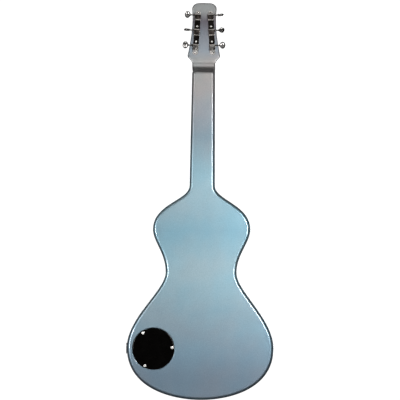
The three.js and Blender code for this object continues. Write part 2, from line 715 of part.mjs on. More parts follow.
// The bridge plate is bent up at the rear, where the strings pass through and the balls bear.
function bridgePlate() {
  const low = BODY_DEPTH + SEAT;
  const shape = new THREE.Shape();
  shape.moveTo(-PLATE_REAR, low);
  shape.lineTo(PLATE_FRONT, low);
  shape.lineTo(PLATE_FRONT, low + PLATE_THICKNESS);
  shape.lineTo(-PLATE_REAR + FLANGE_THICKNESS, low + PLATE_THICKNESS);
  shape.lineTo(-PLATE_REAR + FLANGE_THICKNESS, low + FLANGE_HEIGHT);
  shape.lineTo(-PLATE_REAR, low + FLANGE_HEIGHT);
  const blank = bar(shape, -PLATE_HALF, PLATE_HALF, 1);
  const cuts = bridgeScrews.map((place) => flushScrewHole(at(place.x, low + PLATE_THICKNESS, place.y), Y));
  STRING_GAUGES.forEach((gauge, string) => {
    const from = at(bridgeX(string), low + STRING_HOLE_HEIGHT, -PLATE_REAR - OVERRUN);
    const to = at(bridgeX(string), low + STRING_HOLE_HEIGHT, -PLATE_REAR + FLANGE_THICKNESS + OVERRUN);
    cuts.push(rod(STRING_HOLE_RADIUS, from, to, TINY_ROUND));
  });
  return blank.subtract(union(cuts));
}

// The saddle is a bar with a rounded crown that all the strings cross at one height.
function saddleBar() {
  const foot = BODY_DEPTH + 2 * SEAT + PLATE_THICKNESS;
  const crown = STRING_HEIGHT - SEAT - SADDLE_RADIUS;
  const shape = new THREE.Shape();
  shape.moveTo(-SADDLE_RADIUS, foot);
  shape.lineTo(SADDLE_RADIUS, foot);
  shape.absarc(0, crown, SADDLE_RADIUS, 0, Math.PI);
  return bar(shape, -SADDLE_HALF, SADDLE_HALF, TINY_ROUND / 2);
}

// A screw with its head towards an axis: a countersunk one that ends flush with the face it is
// sunk in, and a pan-headed one that stands on it.
function flushScrew(face, axis) {
  const shape = turned([
    [0, -FLUSH_SHANK_LENGTH],
    [FLUSH_SHANK_RADIUS, -FLUSH_SHANK_LENGTH],
    [FLUSH_SHANK_RADIUS, -FLUSH_HEAD_HEIGHT],
    [FLUSH_HEAD_RADIUS, 0],
    [0, 0],
  ], TINY_ROUND, face, axis);
  return shape.subtract(screwSlot(face, axis, FLUSH_HEAD_RADIUS));
}

function flushScrewHole(face, axis) {
  return turned([
    [0, -FLUSH_SHANK_LENGTH],
    [FLUSH_SHANK_RADIUS + SEAT, -FLUSH_SHANK_LENGTH],
    [FLUSH_SHANK_RADIUS + SEAT, -FLUSH_HEAD_HEIGHT],
    [FLUSH_HEAD_RADIUS + SEAT, 0],
    [FLUSH_HEAD_RADIUS + SEAT, OVERRUN],
    [0, OVERRUN],
  ], TINY_ROUND, face, axis);
}

function panScrew(face, axis) {
  const top = face.clone().addScaledVector(axis, PAN_HEAD_HEIGHT);
  const shape = turned([
    [0, -PAN_SHANK_LENGTH],
    [PAN_SHANK_RADIUS, -PAN_SHANK_LENGTH],
    [PAN_SHANK_RADIUS, SEAT],
    [PAN_HEAD_RADIUS, SEAT],
    [PAN_HEAD_RADIUS * PAN_SHOULDER_SHARES[0], PAN_HEAD_HEIGHT * PAN_SHOULDER_SHARES[1]],
    [0, PAN_HEAD_HEIGHT],
  ], TINY_ROUND, face, axis);
  return shape.subtract(screwSlot(top, axis, PAN_HEAD_RADIUS));
}

function screwSlot(top, axis, radius) {
  const slot = new THREE.BoxGeometry(2 * (radius + SEAT), 2 * SLOT_DEPTH, SLOT_WIDTH);
  slot.applyQuaternion(new THREE.Quaternion().setFromUnitVectors(Y, axis));
  slot.translate(top.x, top.y, top.z);
  return solid(slot);
}

// Half the thickness of a tooth, or of the worm's thread, at a height above its pitch line.
function toothHalf(height) {
  return (TOOTH_SHARE * WORM_LEAD) / 2 - height * Math.tan(PRESSURE_ANGLE);
}

// A tuner strip: the plate with round ends, three stamped housings that are open towards the
// head, a hole in both walls of each for the key, and four screw holes.
function tunerStrip(side) {
  const front = STRIP_BACK;
  const back = front - STRIP_THICKNESS;
  const ends = roundedRectangle(STRIP_HALF, STRIP_LENGTH / 2, STRIP_HALF - WELD);
  const parts = [plate(ends, back, front, TINY_ROUND / 2)];
  const cuts = stripScrewHeights.map((z) => {
    return hole(PAN_SHANK_RADIUS + SEAT, 0, z, back - OVERRUN, front + OVERRUN, TINY_ROUND);
  });
  for (let row = 0; row < STRING_GAUGES.length / 2; row++) {
    const low = postHeight(row) - GEAR_TIP - SEAT;
    const high = shaftHeight(row) + WORM_TIP + SEAT;
    const [foot, head] = [low - HOUSING_WALL, high + HOUSING_WALL];
    const outer = housingProfile(foot, head, HOUSING_BACK, front - WELD, HOUSING_CORNER);
    const corner = HOUSING_CORNER - HOUSING_WALL;
    const inner = housingProfile(low, high, HOUSING_BACK + HOUSING_WALL, front + OVERRUN, corner);
    const reach = STRIP_HALF - HOUSING_WALL;
    const axis = (x) => at(side * x, WORM_AXIS_Y, shaftHeight(row));
    parts.push(bar(outer, -STRIP_HALF, STRIP_HALF, BEND_STEPS));
    cuts.push(
      bar(inner, -reach, reach, BEND_STEPS),
      rod(SHAFT_RADIUS + SEAT, axis(0), axis(STRIP_HALF + OVERRUN), SMALL_ROUND),
      rod(WORM_ROOT + SEAT, axis(-STRIP_HALF - OVERRUN), axis(0), SMALL_ROUND),
    );
  }
  return union(parts).subtract(union(cuts));
}

// The side view of a housing, in z and y, its two back corners rounded.
function housingProfile(low, high, back, front, corner) {
  const shape = new THREE.Shape();
  shape.moveTo(high, front);
  shape.lineTo(low, front);
  shape.absarc(low + corner, back + corner, corner, Math.PI, 1.5 * Math.PI);
  shape.absarc(high - corner, back + corner, corner, 1.5 * Math.PI, 2 * Math.PI);
  return shape;
}

// The worm's thread: a trapezoid swept along a helix about x, right-handed.
function wormThread() {
  const turns = WORM_LENGTH / WORM_LEAD;
  const steps = 2 * Math.ceil((turns * WORM_STEPS) / 2);
  const sunk = WORM_ROOT - (WORM_ROOT - SEAT) / 2;
  const tip = toothHalf(ADDENDUM);
  const foot = toothHalf(-DEDENDUM);
  const rings = [];
  for (let step = 0; step <= steps; step++) {
    const turn = (step - steps / 2) / WORM_STEPS;
    const angle = 2 * Math.PI * turn;
    const out = at(0, Math.sin(angle), -Math.cos(angle));
    const corner = (half, radius) => out.clone().multiplyScalar(radius).setX(WORM_LEAD * turn + half);
    rings.push([corner(-foot, sunk), corner(-tip, WORM_TIP), corner(tip, WORM_TIP), corner(foot, sunk)]);
  }
  const middle = steps / 2;
  const inSection = (point) => {
    const ring = rings[0].includes(point) ? 0 : steps;
    const angle = (2 * Math.PI * (ring - middle)) / WORM_STEPS;
    return new THREE.Vector2(point.x, point.y * Math.sin(angle) - point.z * Math.cos(angle));
  };
  return loft(rings, inSection);
}

// A tuner key: worm, shaft, thrust collar, ferrule and oval button, about the x axis. Its
// button points out, to +x on the right-hand strip and to -x on the left-hand one.
function tunerKey(side, degrees) {
  const out = at(side, 0, 0);
  const along = (x) => at(side * x, 0, 0);
  const shoulder = STRIP_HALF - HOUSING_WALL - SEAT;
  const shaft = turned([
    [0, -STRIP_HALF],
    [WORM_ROOT, -STRIP_HALF],
    [WORM_ROOT, shoulder],
    [SHAFT_RADIUS, shoulder],
    [SHAFT_RADIUS, STRIP_HALF + SEAT],
    [COLLAR_RADIUS, STRIP_HALF + SEAT],
    [COLLAR_RADIUS, STRIP_HALF + SEAT + COLLAR_LENGTH],
    [SHAFT_RADIUS, STRIP_HALF + SEAT + COLLAR_LENGTH],
    [SHAFT_RADIUS, BUTTON_START - FERRULE_LENGTH / 2],
    [FERRULE_RADIUS, BUTTON_START + FERRULE_LENGTH / 2],
    [0, BUTTON_START + FERRULE_LENGTH],
  ], TINY_ROUND, along(0), out);
  const button = new THREE.SphereGeometry(1, SMALL_ROUND, BUTTON_ROUND);
  button.scale(BUTTON_LENGTH / 2, BUTTON_THICKNESS / 2, BUTTON_HALF);
  button.rotateX(THREE.MathUtils.degToRad(degrees));
  button.translate(side * (BUTTON_START + BUTTON_LENGTH / 2), 0, 0);
  return union([shaft, wormThread(), solid(button)]);
}

// The wheel: helical teeth about y that match the worm's lead, a gap facing the worm (+z).
function wormWheel() {
  const twist = (GEAR_WIDTH / 2) * (WORM_LEAD / (2 * Math.PI * WORM_PITCH_RADIUS * GEAR_PITCH_RADIUS));
  const ring = (y, turn) => {
    const points = [];
    for (let tooth = 0; tooth < GEAR_TEETH; tooth++) {
      const middle = ((tooth + 0.5) / GEAR_TEETH) * 2 * Math.PI + turn;
      const root = toothHalf(-DEDENDUM) / GEAR_ROOT;
      const tip = toothHalf(ADDENDUM) / GEAR_TIP;
      const corners = [[-root, GEAR_ROOT], [-tip, GEAR_TIP], [tip, GEAR_TIP], [root, GEAR_ROOT]];
      for (const [angle, radius] of corners) {
        points.push(at(radius * Math.sin(middle + angle), y, radius * Math.cos(middle + angle)));
      }
    }
    return points;
  };
  return loft([
    ring(WORM_AXIS_Y - GEAR_WIDTH / 2, -twist),
    ring(WORM_AXIS_Y + GEAR_WIDTH / 2, twist),
  ], ontoFront);
}

// Heights of the post above the back of the guitar.
const POST_FOOT_Y = HOUSING_BACK + HOUSING_WALL + SEAT;
const POST_TOP_Y = HEAD_FRONT + POST_HEIGHT;
const BUSHING_TOP_Y = HEAD_FRONT + SEAT + BUSHING_FLANGE_HEIGHT;

// A post stands on a pivot in its housing, carries the wheel and comes out through the head to
// a waist that holds the string's turns.
function tunerPost() {
  const wheelBack = WORM_AXIS_Y - GEAR_WIDTH / 2;
  const wheelFront = WORM_AXIS_Y + GEAR_WIDTH / 2;
  const shoulder = POST_RADIUS - POST_WAIST;
  const stem = turned([
    [0, POST_FOOT_Y],
    [PIVOT_RADIUS, POST_FOOT_Y],
    [PIVOT_RADIUS, wheelBack + SEAT],
    [POST_RADIUS, wheelFront - SEAT],
    [POST_RADIUS, BUSHING_TOP_Y + SEAT],
    [POST_WAIST, BUSHING_TOP_Y + SEAT + shoulder],
    [POST_WAIST, POST_TOP_Y - POST_CAP - shoulder / 2],
    [POST_RADIUS, POST_TOP_Y - POST_CAP],
    [POST_RADIUS, POST_TOP_Y - shoulder],
    [POST_WAIST, POST_TOP_Y],
    [0, POST_TOP_Y],
  ], TINY_ROUND, at(0, 0, 0), Y);
  const eyeY = (BUSHING_TOP_Y + POST_TOP_Y - POST_CAP) / 2;
  const eye = rod(POST_HOLE_RADIUS, at(-2 * POST_RADIUS, eyeY, 0), at(2 * POST_RADIUS, eyeY, 0), TINY_ROUND);
  return stem.add(wormWheel()).subtract(eye);
}

// A flanged bushing in the front of the head, bored for the post to turn in.
function postBushing() {
  const bore = POST_RADIUS + SEAT;
  const foot = HEAD_FRONT - BUSHING_DEPTH;
  return turned([
    [bore, foot],
    [bore + BUSHING_WALL, foot],
    [bore + BUSHING_WALL, HEAD_FRONT + SEAT],
    [BUSHING_FLANGE, HEAD_FRONT + SEAT],
    [BUSHING_FLANGE, BUSHING_TOP_Y],
    [bore, BUSHING_TOP_Y],
    [bore, foot],
  ], SMALL_ROUND, at(0, 0, 0), Y);
}

// The centre line of a string: from its ball through the bridge flange, over the saddle and
// the nut, then round its post.
function stringPath(string) {
  const radius = STRING_GAUGES[string] / 2;
  const side = sideOf(string);
  const holeY = BODY_DEPTH + SEAT + STRING_HOLE_HEIGHT;
  const post = onStrip(side, 0, 0, postHeight(rowOf(string)));
  const coil = POST_WAIST + SEAT + radius;
  const top = POST_TOP_Y - POST_CAP - WINDING_DROP - radius;
  const height = STRING_HEIGHT + radius;
  const nutBack = NUT_Z + NUT_THICKNESS;
  const path = [
    at(bridgeX(string), holeY, -PLATE_REAR - SEAT - BALL_RADIUS),
    at(bridgeX(string), holeY, -PLATE_REAR + FLANGE_THICKNESS),
    at(bridgeX(string), height, 0),
    at(nutX(string), height, NUT_Z),
    at(nutX(string), height, nutBack),
  ];
  const reach = Math.hypot(nutX(string) - post.x, nutBack - post.z);
  const facing = Math.atan2(nutBack - post.z, nutX(string) - post.x);
  const start = facing - side * Math.acos(coil / reach);
  const turns = string < STRING_GAUGES.length / 2 ? TURNS_PLAIN : TURNS_WOUND;
  for (let step = 0; step <= turns * LOOP_STEPS; step++) {
    const turn = step / LOOP_STEPS;
    const angle = start - side * 2 * Math.PI * turn;
    const y = top - turn * (2 * radius + WINDING_GAP);
    path.push(at(post.x + coil * Math.cos(angle), y, post.z + coil * Math.sin(angle)));
  }
  return path;
}

// A round tube along a path of points, its frame carried along without twist.
function tube(path, radius, sides) {
  let across = X.clone();
  const rings = path.map((point, i) => {
    const before = path[Math.max(i - 1, 0)];
    const after = path[Math.min(i + 1, path.length - 1)];
    const into = point.clone().sub(before).normalize();
    const out = after.clone().sub(point).normalize();
    const along = into.add(out).normalize();
    across = across.addScaledVector(along, -across.dot(along)).normalize();
    const up = along.clone().cross(across);
    return Array.from({ length: sides }, (_, k) => {
      const angle = (k / sides) * 2 * Math.PI;
      const spoke = across.clone().multiplyScalar(Math.cos(angle)).addScaledVector(up, Math.sin(angle));
      return point.clone().addScaledVector(spoke, radius);
    });
  });
  const ends = [...rings[0], ...rings.at(-1)];
  return loft(rings, (point) => {
    const angle = (ends.indexOf(point) / sides) * 2 * Math.PI;
    return new THREE.Vector2(Math.cos(angle), Math.sin(angle));
  });
}

// The least gap between two turns of a path: points less than half a loop apart don't count.
function gapToItself(path, gauge) {
  let least = Infinity;
  for (let i = 0; i < path.length; i++) {
    for (let j = i + LOOP_STEPS / 2; j < path.length; j++) {
      least = Math.min(least, path[i].distanceTo(path[j]) - gauge);
    }
  }
  return least;
}

function guitarString(string) {
  const gauge = STRING_GAUGES[string];
  const path = stringPath(string);
  const gap = gapToItself(path, gauge).toFixed(2);
  console.log("string " + (string + 1) + ": least gap to itself " + gap + " mm");
  const ball = rod(
    BALL_RADIUS, path[0].clone().addScaledVector(X, -BALL_LENGTH / 2),
    path[0].clone().addScaledVector(X, BALL_LENGTH / 2), TINY_ROUND,
  );
  return tube(path, gauge / 2, STRING_SIDES).add(ball);
}

// The control cover: a black disc let into the back, held by three flush screws.
function controlCover() {
  const disc = turned([
    [0, SEAT],
    [COVER_RADIUS - SEAT, SEAT],
    [COVER_RADIUS, 2 * SEAT],
    [COVER_RADIUS, SEAT + COVER_THICKNESS],
    [0, SEAT + COVER_THICKNESS],
  ], BIG_ROUND, at(CONTROL_X, 0, CONTROL_Z), Y);
  const holes = coverScrews.map((place) => flushScrewHole(at(place.x, SEAT, place.y), Y.clone().negate()));
  return disc.subtract(union(holes));
}

// A pot behind the front wall, its threaded neck held by a nut and bored for the shaft.
const NUT_TOP_Y = BODY_DEPTH + SEAT + CONTROL_NUT_HEIGHT;
const SHAFT_FOOT_Y = CAVITY_FLOOR - SEAT - CONTROL_SHAFT_DEPTH;

function pot(place) {
  const face = CAVITY_FLOOR - SEAT;
  const bore = CONTROL_SHAFT_RADIUS + SEAT;
  const can = turned([
    [0, face - POT_DEPTH],
    [POT_RADIUS, face - POT_DEPTH],
    [POT_RADIUS, face],
    [THREAD_RADIUS, face],
    [THREAD_RADIUS, BODY_DEPTH + THREAD_HEIGHT],
    [bore, BODY_DEPTH + THREAD_HEIGHT],
    [bore, SHAFT_FOOT_Y - SEAT],
    [0, SHAFT_FOOT_Y - SEAT],
  ], ROUND, at(place.x, 0, place.y), Y);
  return can.add(controlNut(place, bore));
}

// A hexagon nut on a threaded neck, open over the neck's bore.
function controlNut(place, bore) {
  const foot = BODY_DEPTH + SEAT;
  const nutBody = hole(CONTROL_NUT_RADIUS, place.x, place.y, foot, NUT_TOP_Y, HEXAGON);
  return nutBody.subtract(hole(bore, place.x, place.y, foot - OVERRUN, NUT_TOP_Y + OVERRUN, ROUND));
}

function controlShaft(place) {
  const tip = BODY_DEPTH + CONTROL_SHAFT_HEIGHT;
  return hole(CONTROL_SHAFT_RADIUS, place.x, place.y, SHAFT_FOOT_Y, tip, SMALL_ROUND);
}

// A knob with a plain skirt, a fluted grip and a hollow foot that clears the nut.
function knob(place) {
  const foot = BODY_DEPTH + 2 * SEAT;
  const top = foot + KNOB_HEIGHT;
  const ring = (y, radius, depth) => Array.from({ length: 2 * KNOB_FLUTES }, (_, i) => {
    const angle = (i / KNOB_FLUTES) * Math.PI;
    const reach = radius - (i % 2) * depth;
    return at(place.x + reach * Math.cos(angle), y, place.y + reach * Math.sin(angle));
  });
  const grip = foot + KNOB_SKIRT;
  const shape = loft([
    ring(foot, KNOB_RADIUS, 0),
    ring(grip, KNOB_RADIUS, 0),
    ring(grip + SEAT, KNOB_TOP_RADIUS, KNOB_FLUTE_DEPTH),
    ring(top - KNOB_TOP, KNOB_TOP_RADIUS, KNOB_FLUTE_DEPTH),
    ring(top, KNOB_TOP_RADIUS - KNOB_TOP, 0),
  ], ontoFront);
  const clear = CONTROL_NUT_RADIUS + 2 * SEAT;
  const hollow = hole(clear, place.x, place.y, foot - OVERRUN, BODY_DEPTH + THREAD_HEIGHT + SEAT, ROUND);
  const end = BODY_DEPTH + CONTROL_SHAFT_HEIGHT + SEAT;
  const bore = hole(CONTROL_SHAFT_RADIUS + SEAT, place.x, place.y, foot, end, SMALL_ROUND);
  return shape.subtract(hollow.add(bore));
}

// The selector: a box behind the front wall with a threaded neck, and a bat lever whose ball
// rocks in the neck's bore.
const LEVER_PIVOT_Y = BODY_DEPTH;

function selectorSwitch() {
  const { x, y: z } = selectorAt;
  const face = CAVITY_FLOOR - SEAT;
  const bore = LEVER_BALL + SEAT;
  const floor = LEVER_PIVOT_Y - LEVER_BALL - SEAT;
  const half = SWITCH_HALF;
  const box = block(x - half, x + half, face - SWITCH_DEPTH, face, z - half, z + half);
  const neck = hole(SWITCH_THREAD, x, z, face - SEAT, BODY_DEPTH + THREAD_HEIGHT, ROUND);
  const rim = hole(CONTROL_NUT_RADIUS, x, z, BODY_DEPTH + SEAT, NUT_TOP_Y, HEXAGON);
  const well = hole(bore, x, z, floor, BODY_DEPTH + THREAD_HEIGHT + OVERRUN, ROUND);
  return box.add(neck).add(rim).subtract(well);
}

function selectorLever() {
  const half = LEVER_BALL * Math.SQRT1_2;
  return turned([
    [0, -LEVER_BALL],
    [half, -half],
    [LEVER_BALL, 0],
    [half, half],
    [LEVER_NECK, LEVER_BALL],
    [LEVER_NECK, THREAD_HEIGHT + LEVER_BALL],
    [LEVER_TIP, LEVER_LENGTH - LEVER_TIP],
    [LEVER_TIP * Math.SQRT1_2, LEVER_LENGTH - LEVER_TIP * (1 - Math.SQRT1_2)],
    [0, LEVER_LENGTH],
  ], SMALL_ROUND, at(selectorAt.x, LEVER_PIVOT_Y, selectorAt.y), Y);
}

// The jack cup lines a hole in the side of the bout, its flange on the rim, the floor bored
// for the jack. Heights run outwards from the widest point of the bout.
const jackMouth = at(-BOUT_HALF, JACK_HEIGHT, CONTROL_Z);
const OUT_OF_SIDE = X.clone().negate();

function jackCup() {
  const hub = JACK_RADIUS + SEAT;
  const lining = CUP_RADIUS - CUP_WALL;
  return turned([
    [hub, -CUP_DEPTH],
    [CUP_RADIUS, -CUP_DEPTH],
    [CUP_RADIUS, SEAT],
    [CUP_FLANGE, SEAT],
    [CUP_FLANGE, SEAT + CUP_FLANGE_THICKNESS],
    [lining, SEAT + CUP_FLANGE_THICKNESS],
    [lining, -CUP_DEPTH + CUP_WALL],
    [hub, -CUP_DEPTH + CUP_WALL],
    [hub, -CUP_DEPTH],
  ], ROUND, jackMouth, OUT_OF_SIDE);
}

// The jack is a bored barrel through the cup's floor: a nut outside it and the frame behind.
function outputJack() {
  const behind = -CUP_DEPTH - SEAT;
  const ahead = -CUP_DEPTH + CUP_WALL + SEAT;
  const frameEnd = behind - JACK_FRAME_LENGTH;
  return turned([
    [JACK_BORE, frameEnd - JACK_TAIL],
    [JACK_RADIUS, frameEnd - JACK_TAIL],
    [JACK_RADIUS, frameEnd],
    [JACK_FRAME_RADIUS, frameEnd],
    [JACK_FRAME_RADIUS, behind],
    [JACK_RADIUS, behind],
    [JACK_RADIUS, ahead],
    [JACK_NUT_RADIUS, ahead],
    [JACK_NUT_RADIUS, ahead + JACK_NUT_HEIGHT],
    [JACK_BORE, ahead + JACK_NUT_HEIGHT],
    [JACK_BORE, frameEnd - JACK_TAIL],
  ], JACK_ROUND, jackMouth, OUT_OF_SIDE);
}

// A pickup: a cover with rounded corners and top edge, and a pole under each string.
const stringX = (string, z) => THREE.MathUtils.mapLinear(z, 0, NUT_Z, bridgeX(string), nutX(string));

function pickup(z) {
  const foot = BODY_DEPTH - PICKUP_POCKET_DEPTH + SEAT;
  const top = BODY_DEPTH + PICKUP_OVER_BODY;
  const outline = roundedRectangle(PICKUP_HALF, PICKUP_LENGTH / 2, PICKUP_CORNER).getPoints(BEND_STEPS);
  const ring = (distance, y) => inset(outline, distance).map((point) => at(point.x, y, point.y + z));
  const cover = loft([
    ring(0, foot),
    ring(0, top - PICKUP_TOP_EDGE),
    ring(PICKUP_TOP_EDGE * (1 - Math.SQRT1_2), top - PICKUP_TOP_EDGE * (1 - Math.SQRT1_2)),
    ring(PICKUP_TOP_EDGE, top),
  ], ontoFront);
  const poles = STRING_GAUGES.map((gauge, string) => {
    return hole(POLE_RADIUS, stringX(string, z), z, top - POLE_PROUD, top + POLE_PROUD, TINY_ROUND);
  });
  return cover.add(union(poles));
}

// Each strip is a group of its own, turned by the splay, that carries its tuners.
function stripGroup(side) {
  const group = new THREE.Group();
  group.position.set(side * STRIP_OFFSET, 0, aboveNut(STRIP_CENTRE_HEIGHT));
  group.rotation.y = -side * STRIP_SPLAY;
  group.add(piece(side < 0 ? "treble_tuner_strip" : "bass_tuner_strip", tunerStrip(side), chrome));
  const face = STRIP_BACK - STRIP_THICKNESS;
  stripScrewHeights.forEach((z, i) => {
    const name = (side < 0 ? "treble_strip_screw_" : "bass_strip_screw_") + (i + 1);
    group.add(piece(name, panScrew(at(0, face, z), Y.clone().negate()), steel));
  });
  STRING_GAUGES.forEach((gauge, string) => {
    if (sideOf(string) === side) group.add(...tuner(string));
  });
  return group;
}

function tuner(string) {
  const row = rowOf(string);
  const number = string + 1;
  const key = piece("tuner_key_" + number, tunerKey(sideOf(string), KEY_TURNS_DEGREES[string]), chrome);
  key.position.set(0, WORM_AXIS_Y, shaftHeight(row));
  const post = piece("tuner_post_" + number, tunerPost(), chrome);
  post.position.z = postHeight(row);
  const bushing = piece("post_bushing_" + number, postBushing(), chrome);
  bushing.position.z = postHeight(row);
  return [key, post, bushing];
}

function controls() {
  const group = new THREE.Group();
  for (const [name, place] of [["volume", volumeAt], ["tone", toneAt]]) {
    group.add(piece(name + "_pot", pot(place), steel));
    group.add(piece(name + "_shaft", controlShaft(place), brass));
    group.add(piece(name + "_knob", knob(place), blackPlastic));
  }
  group.add(piece("selector_switch", selectorSwitch(), steel));
  group.add(piece("selector_lever", selectorLever(), chrome));
  group.add(piece("jack_cup", jackCup(), chrome));
  group.add(piece("output_jack", outputJack(), steel));
  group.add(piece("control_cover", controlCover(), blackPlastic));
  coverScrews.forEach((place, i) => {
    const face = at(place.x, SEAT, place.y);
    group.add(piece("cover_screw_" + (i + 1), flushScrew(face, Y.clone().negate()), steel));
  });
  return group;
}

function bridge() {
  const group = new THREE.Group();
  group.add(piece("bridge_plate", bridgePlate(), chrome), piece("saddle_bar", saddleBar(), chrome));
  bridgeScrews.forEach((place, i) => {
    const face = at(place.x, BODY_DEPTH + SEAT + PLATE_THICKNESS, place.y);
    group.add(piece("bridge_screw_" + (i + 1), flushScrew(face, Y), steel));
  });
  return group;
}

const guitar = new THREE.Group();
guitar.add(piece("body", body(), paint));
guitar.add(piece("fretboard", fretboard(), rosewood));
guitar.add(piece("nut", nut(), bone));
guitar.add(bridge());
guitar.add(piece("bridge_pickup", pickup(BRIDGE_PICKUP_Z), blackPlastic));
guitar.add(piece("neck_pickup", pickup(NECK_PICKUP_Z), blackPlastic));
guitar.add(stripGroup(-1), stripGroup(1));
guitar.add(controls());
STRING_GAUGES.forEach((gauge, string) => {
  guitar.add(piece("string_" + (string + 1), guitarString(string), stringSteel));
});

export default guitar;
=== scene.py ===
# %% [markdown]
# # A six-string lap steel guitar
# The guitar hangs upright with its back to the camera: an hourglass body in a metallic
# ice-blue lacquer, a square neck, and a head with three tuners on each side. The CAD
# model is loaded first as a fixed frame. Everything that is made here sits on it, in the
# same place and at the same size, and every moving piece rides on its CAD body.

# %% Load the frame
import math

import bmesh
import bpy
from mathutils import Matrix, Vector
from mathutils.geometry import interpolate_bezier


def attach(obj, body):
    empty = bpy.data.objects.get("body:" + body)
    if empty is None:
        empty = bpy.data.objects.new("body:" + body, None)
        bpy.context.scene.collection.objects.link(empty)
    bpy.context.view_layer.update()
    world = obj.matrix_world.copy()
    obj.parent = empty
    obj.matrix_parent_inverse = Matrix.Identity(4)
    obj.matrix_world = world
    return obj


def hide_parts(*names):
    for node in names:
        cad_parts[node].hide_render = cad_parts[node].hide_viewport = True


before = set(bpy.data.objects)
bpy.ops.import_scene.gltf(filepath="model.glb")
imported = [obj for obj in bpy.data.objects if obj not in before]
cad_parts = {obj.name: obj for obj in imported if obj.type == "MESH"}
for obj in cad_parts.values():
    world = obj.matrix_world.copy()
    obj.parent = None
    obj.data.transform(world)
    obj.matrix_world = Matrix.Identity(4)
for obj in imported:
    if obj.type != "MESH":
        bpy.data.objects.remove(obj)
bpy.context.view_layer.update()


# %% [markdown]
# ## Millimetres, and helpers for meshes
# A guitar maker measures in millimetres and Blender in metres, so every mesh is worked
# out in millimetres and made smaller once, when it is finished. A bmesh is Blender's
# mesh while it is being worked on: the helpers turn a profile about an axis, join
# several shapes, and cut one from another.

# %% Millimetres and directions
# A millimetre in metres, and the distance in millimetres at which two points become one.
MM = 0.001
WELD = 0.001
FULL_TURN = 2 * math.pi
ACROSS = Vector((1, 0, 0))
FORWARD = Vector((0, 1, 0))
UPWARD = Vector((0, 0, 1))


def placed(bm, matrix):
    """Moves a whole bmesh and gives it back."""
    bmesh.ops.transform(bm, matrix=matrix, verts=bm.verts)
    return bm


def shifted(bm, x=0.0, y=0.0, z=0.0):
    """Moves a whole bmesh along the axes."""
    return placed(bm, Matrix.Translation((x, y, z)))


def turn_towards(axis):
    """The turn that takes the forward direction to an axis."""
    return FORWARD.rotation_difference(Vector(axis)).to_matrix().to_4x4()


def in_scene(name, data):
    """A new object for a mesh, a curve, a lamp or a camera, linked to the scene."""
    thing = bpy.data.objects.new(name, data)
    bpy.context.scene.collection.objects.link(thing)
    return thing


# %% A shape turned on a lathe
def turned(profile, steps, axis=FORWARD, place=(0, 0, 0)):
    """Spins [radius, height] pairs about an axis through a place."""
    bm = bmesh.new()
    points = [bm.verts.new((radius, height, 0)) for radius, height in profile]
    lines = [bm.edges.new(pair) for pair in zip(points, points[1:])]
    bmesh.ops.spin(
        bm, geom=points + lines, cent=(0, 0, 0), axis=FORWARD, dvec=(0, 0, 0),
        angle=FULL_TURN, steps=steps, use_merge=True,
    )
    bmesh.ops.remove_doubles(bm, verts=bm.verts, dist=WELD)
    bmesh.ops.recalc_face_normals(bm, faces=bm.faces)
    return placed(bm, Matrix.Translation(place) @ turn_towards(axis))


def rod(radius, start, end, steps=32):
    """A plain round bar between two points."""
    run = Vector(end) - Vector(start)
    profile = [[0, 0], [radius, 0], [radius, run.length], [0, run.length]]
    return turned(profile, steps, run.normalized(), start)


def arc(radius, centre, first, last, steps=6):
    """Points of an arc as pairs, from one angle in degrees to another."""
    angles = [math.radians(first + (last - first) * step / steps) for step in range(steps + 1)]
    return [[centre[0] + radius * math.cos(a), centre[1] + radius * math.sin(a)] for a in angles]


# %% Flat shapes given thickness
def slab(outline, depth, lift):
    """Fills an outline of points and extrudes it by a vector, from a lift off its plane."""
    bm = bmesh.new()
    ring = [bm.verts.new(point) for point in outline]
    face = bm.faces.new(ring)
    grown = bmesh.ops.extrude_face_region(bm, geom=[face])
    moved = [item for item in grown["geom"] if isinstance(item, bmesh.types.BMVert)]
    bmesh.ops.translate(bm, vec=depth, verts=moved)
    bmesh.ops.translate(bm, vec=lift, verts=bm.verts)
    bmesh.ops.recalc_face_normals(bm, faces=bm.faces)
    return bm


def front_slab(points, y0, y1):
    """A slab whose outline is given in x and z, between two depths."""
    return slab([(x, 0, z) for x, z in points], (0, y1 - y0, 0), (0, y0, 0))


def side_slab(points, x0, x1):
    """A slab whose outline is given in z and y, between two places across the guitar."""
    return slab([(0, y, z) for z, y in points], (x1 - x0, 0, 0), (x0, 0, 0))


def block(x0, x1, y0, y1, z0, z1):
    """A bmesh cube stretched to its corners."""
    bm = bmesh.new()
    bmesh.ops.create_cube(bm, size=1)
    bmesh.ops.scale(bm, vec=(x1 - x0, y1 - y0, z1 - z0), verts=bm.verts)
    return shifted(bm, (x0 + x1) / 2, (y0 + y1) / 2, (z0 + z1) / 2)


def rounded_rectangle(half, half_length, corner, steps=8):
    """An outline with round corners, as pairs, the long way round from the lower right."""
    x, z = half - corner, half_length - corner
    return (
        arc(corner, (x, -z), -90, 0, steps) + arc(corner, (x, z), 0, 90, steps)
        + arc(corner, (-x, z), 90, 180, steps) + arc(corner, (-x, -z), 180, 270, steps)
    )


# %% Round the edges
def rounded(bm, width, segments=4, chosen=lambda edge: True, angle=30):
    """Bevels the chosen edges that turn by more than an angle."""
    bmesh.ops.recalc_face_normals(bm, faces=bm.faces)
    sharp = [
        edge for edge in bm.edges
        if len(edge.link_faces) == 2
        and edge.calc_face_angle() > math.radians(angle) and chosen(edge)
    ]
    bmesh.ops.bevel(
        bm, geom=sharp, offset=width, offset_type="OFFSET", segments=segments,
        profile=0.5, affect="EDGES", material=-1, clamp_overlap=True,
    )
    return bm


def in_front_of(depth):
    """Chooses the edges that lie wholly in front of a depth."""
    return lambda edge: all(vert.co.y > depth for vert in edge.verts)


def behind(depth):
    """Chooses the edges that lie wholly behind a depth."""
    return lambda edge: all(vert.co.y < depth for vert in edge.verts)


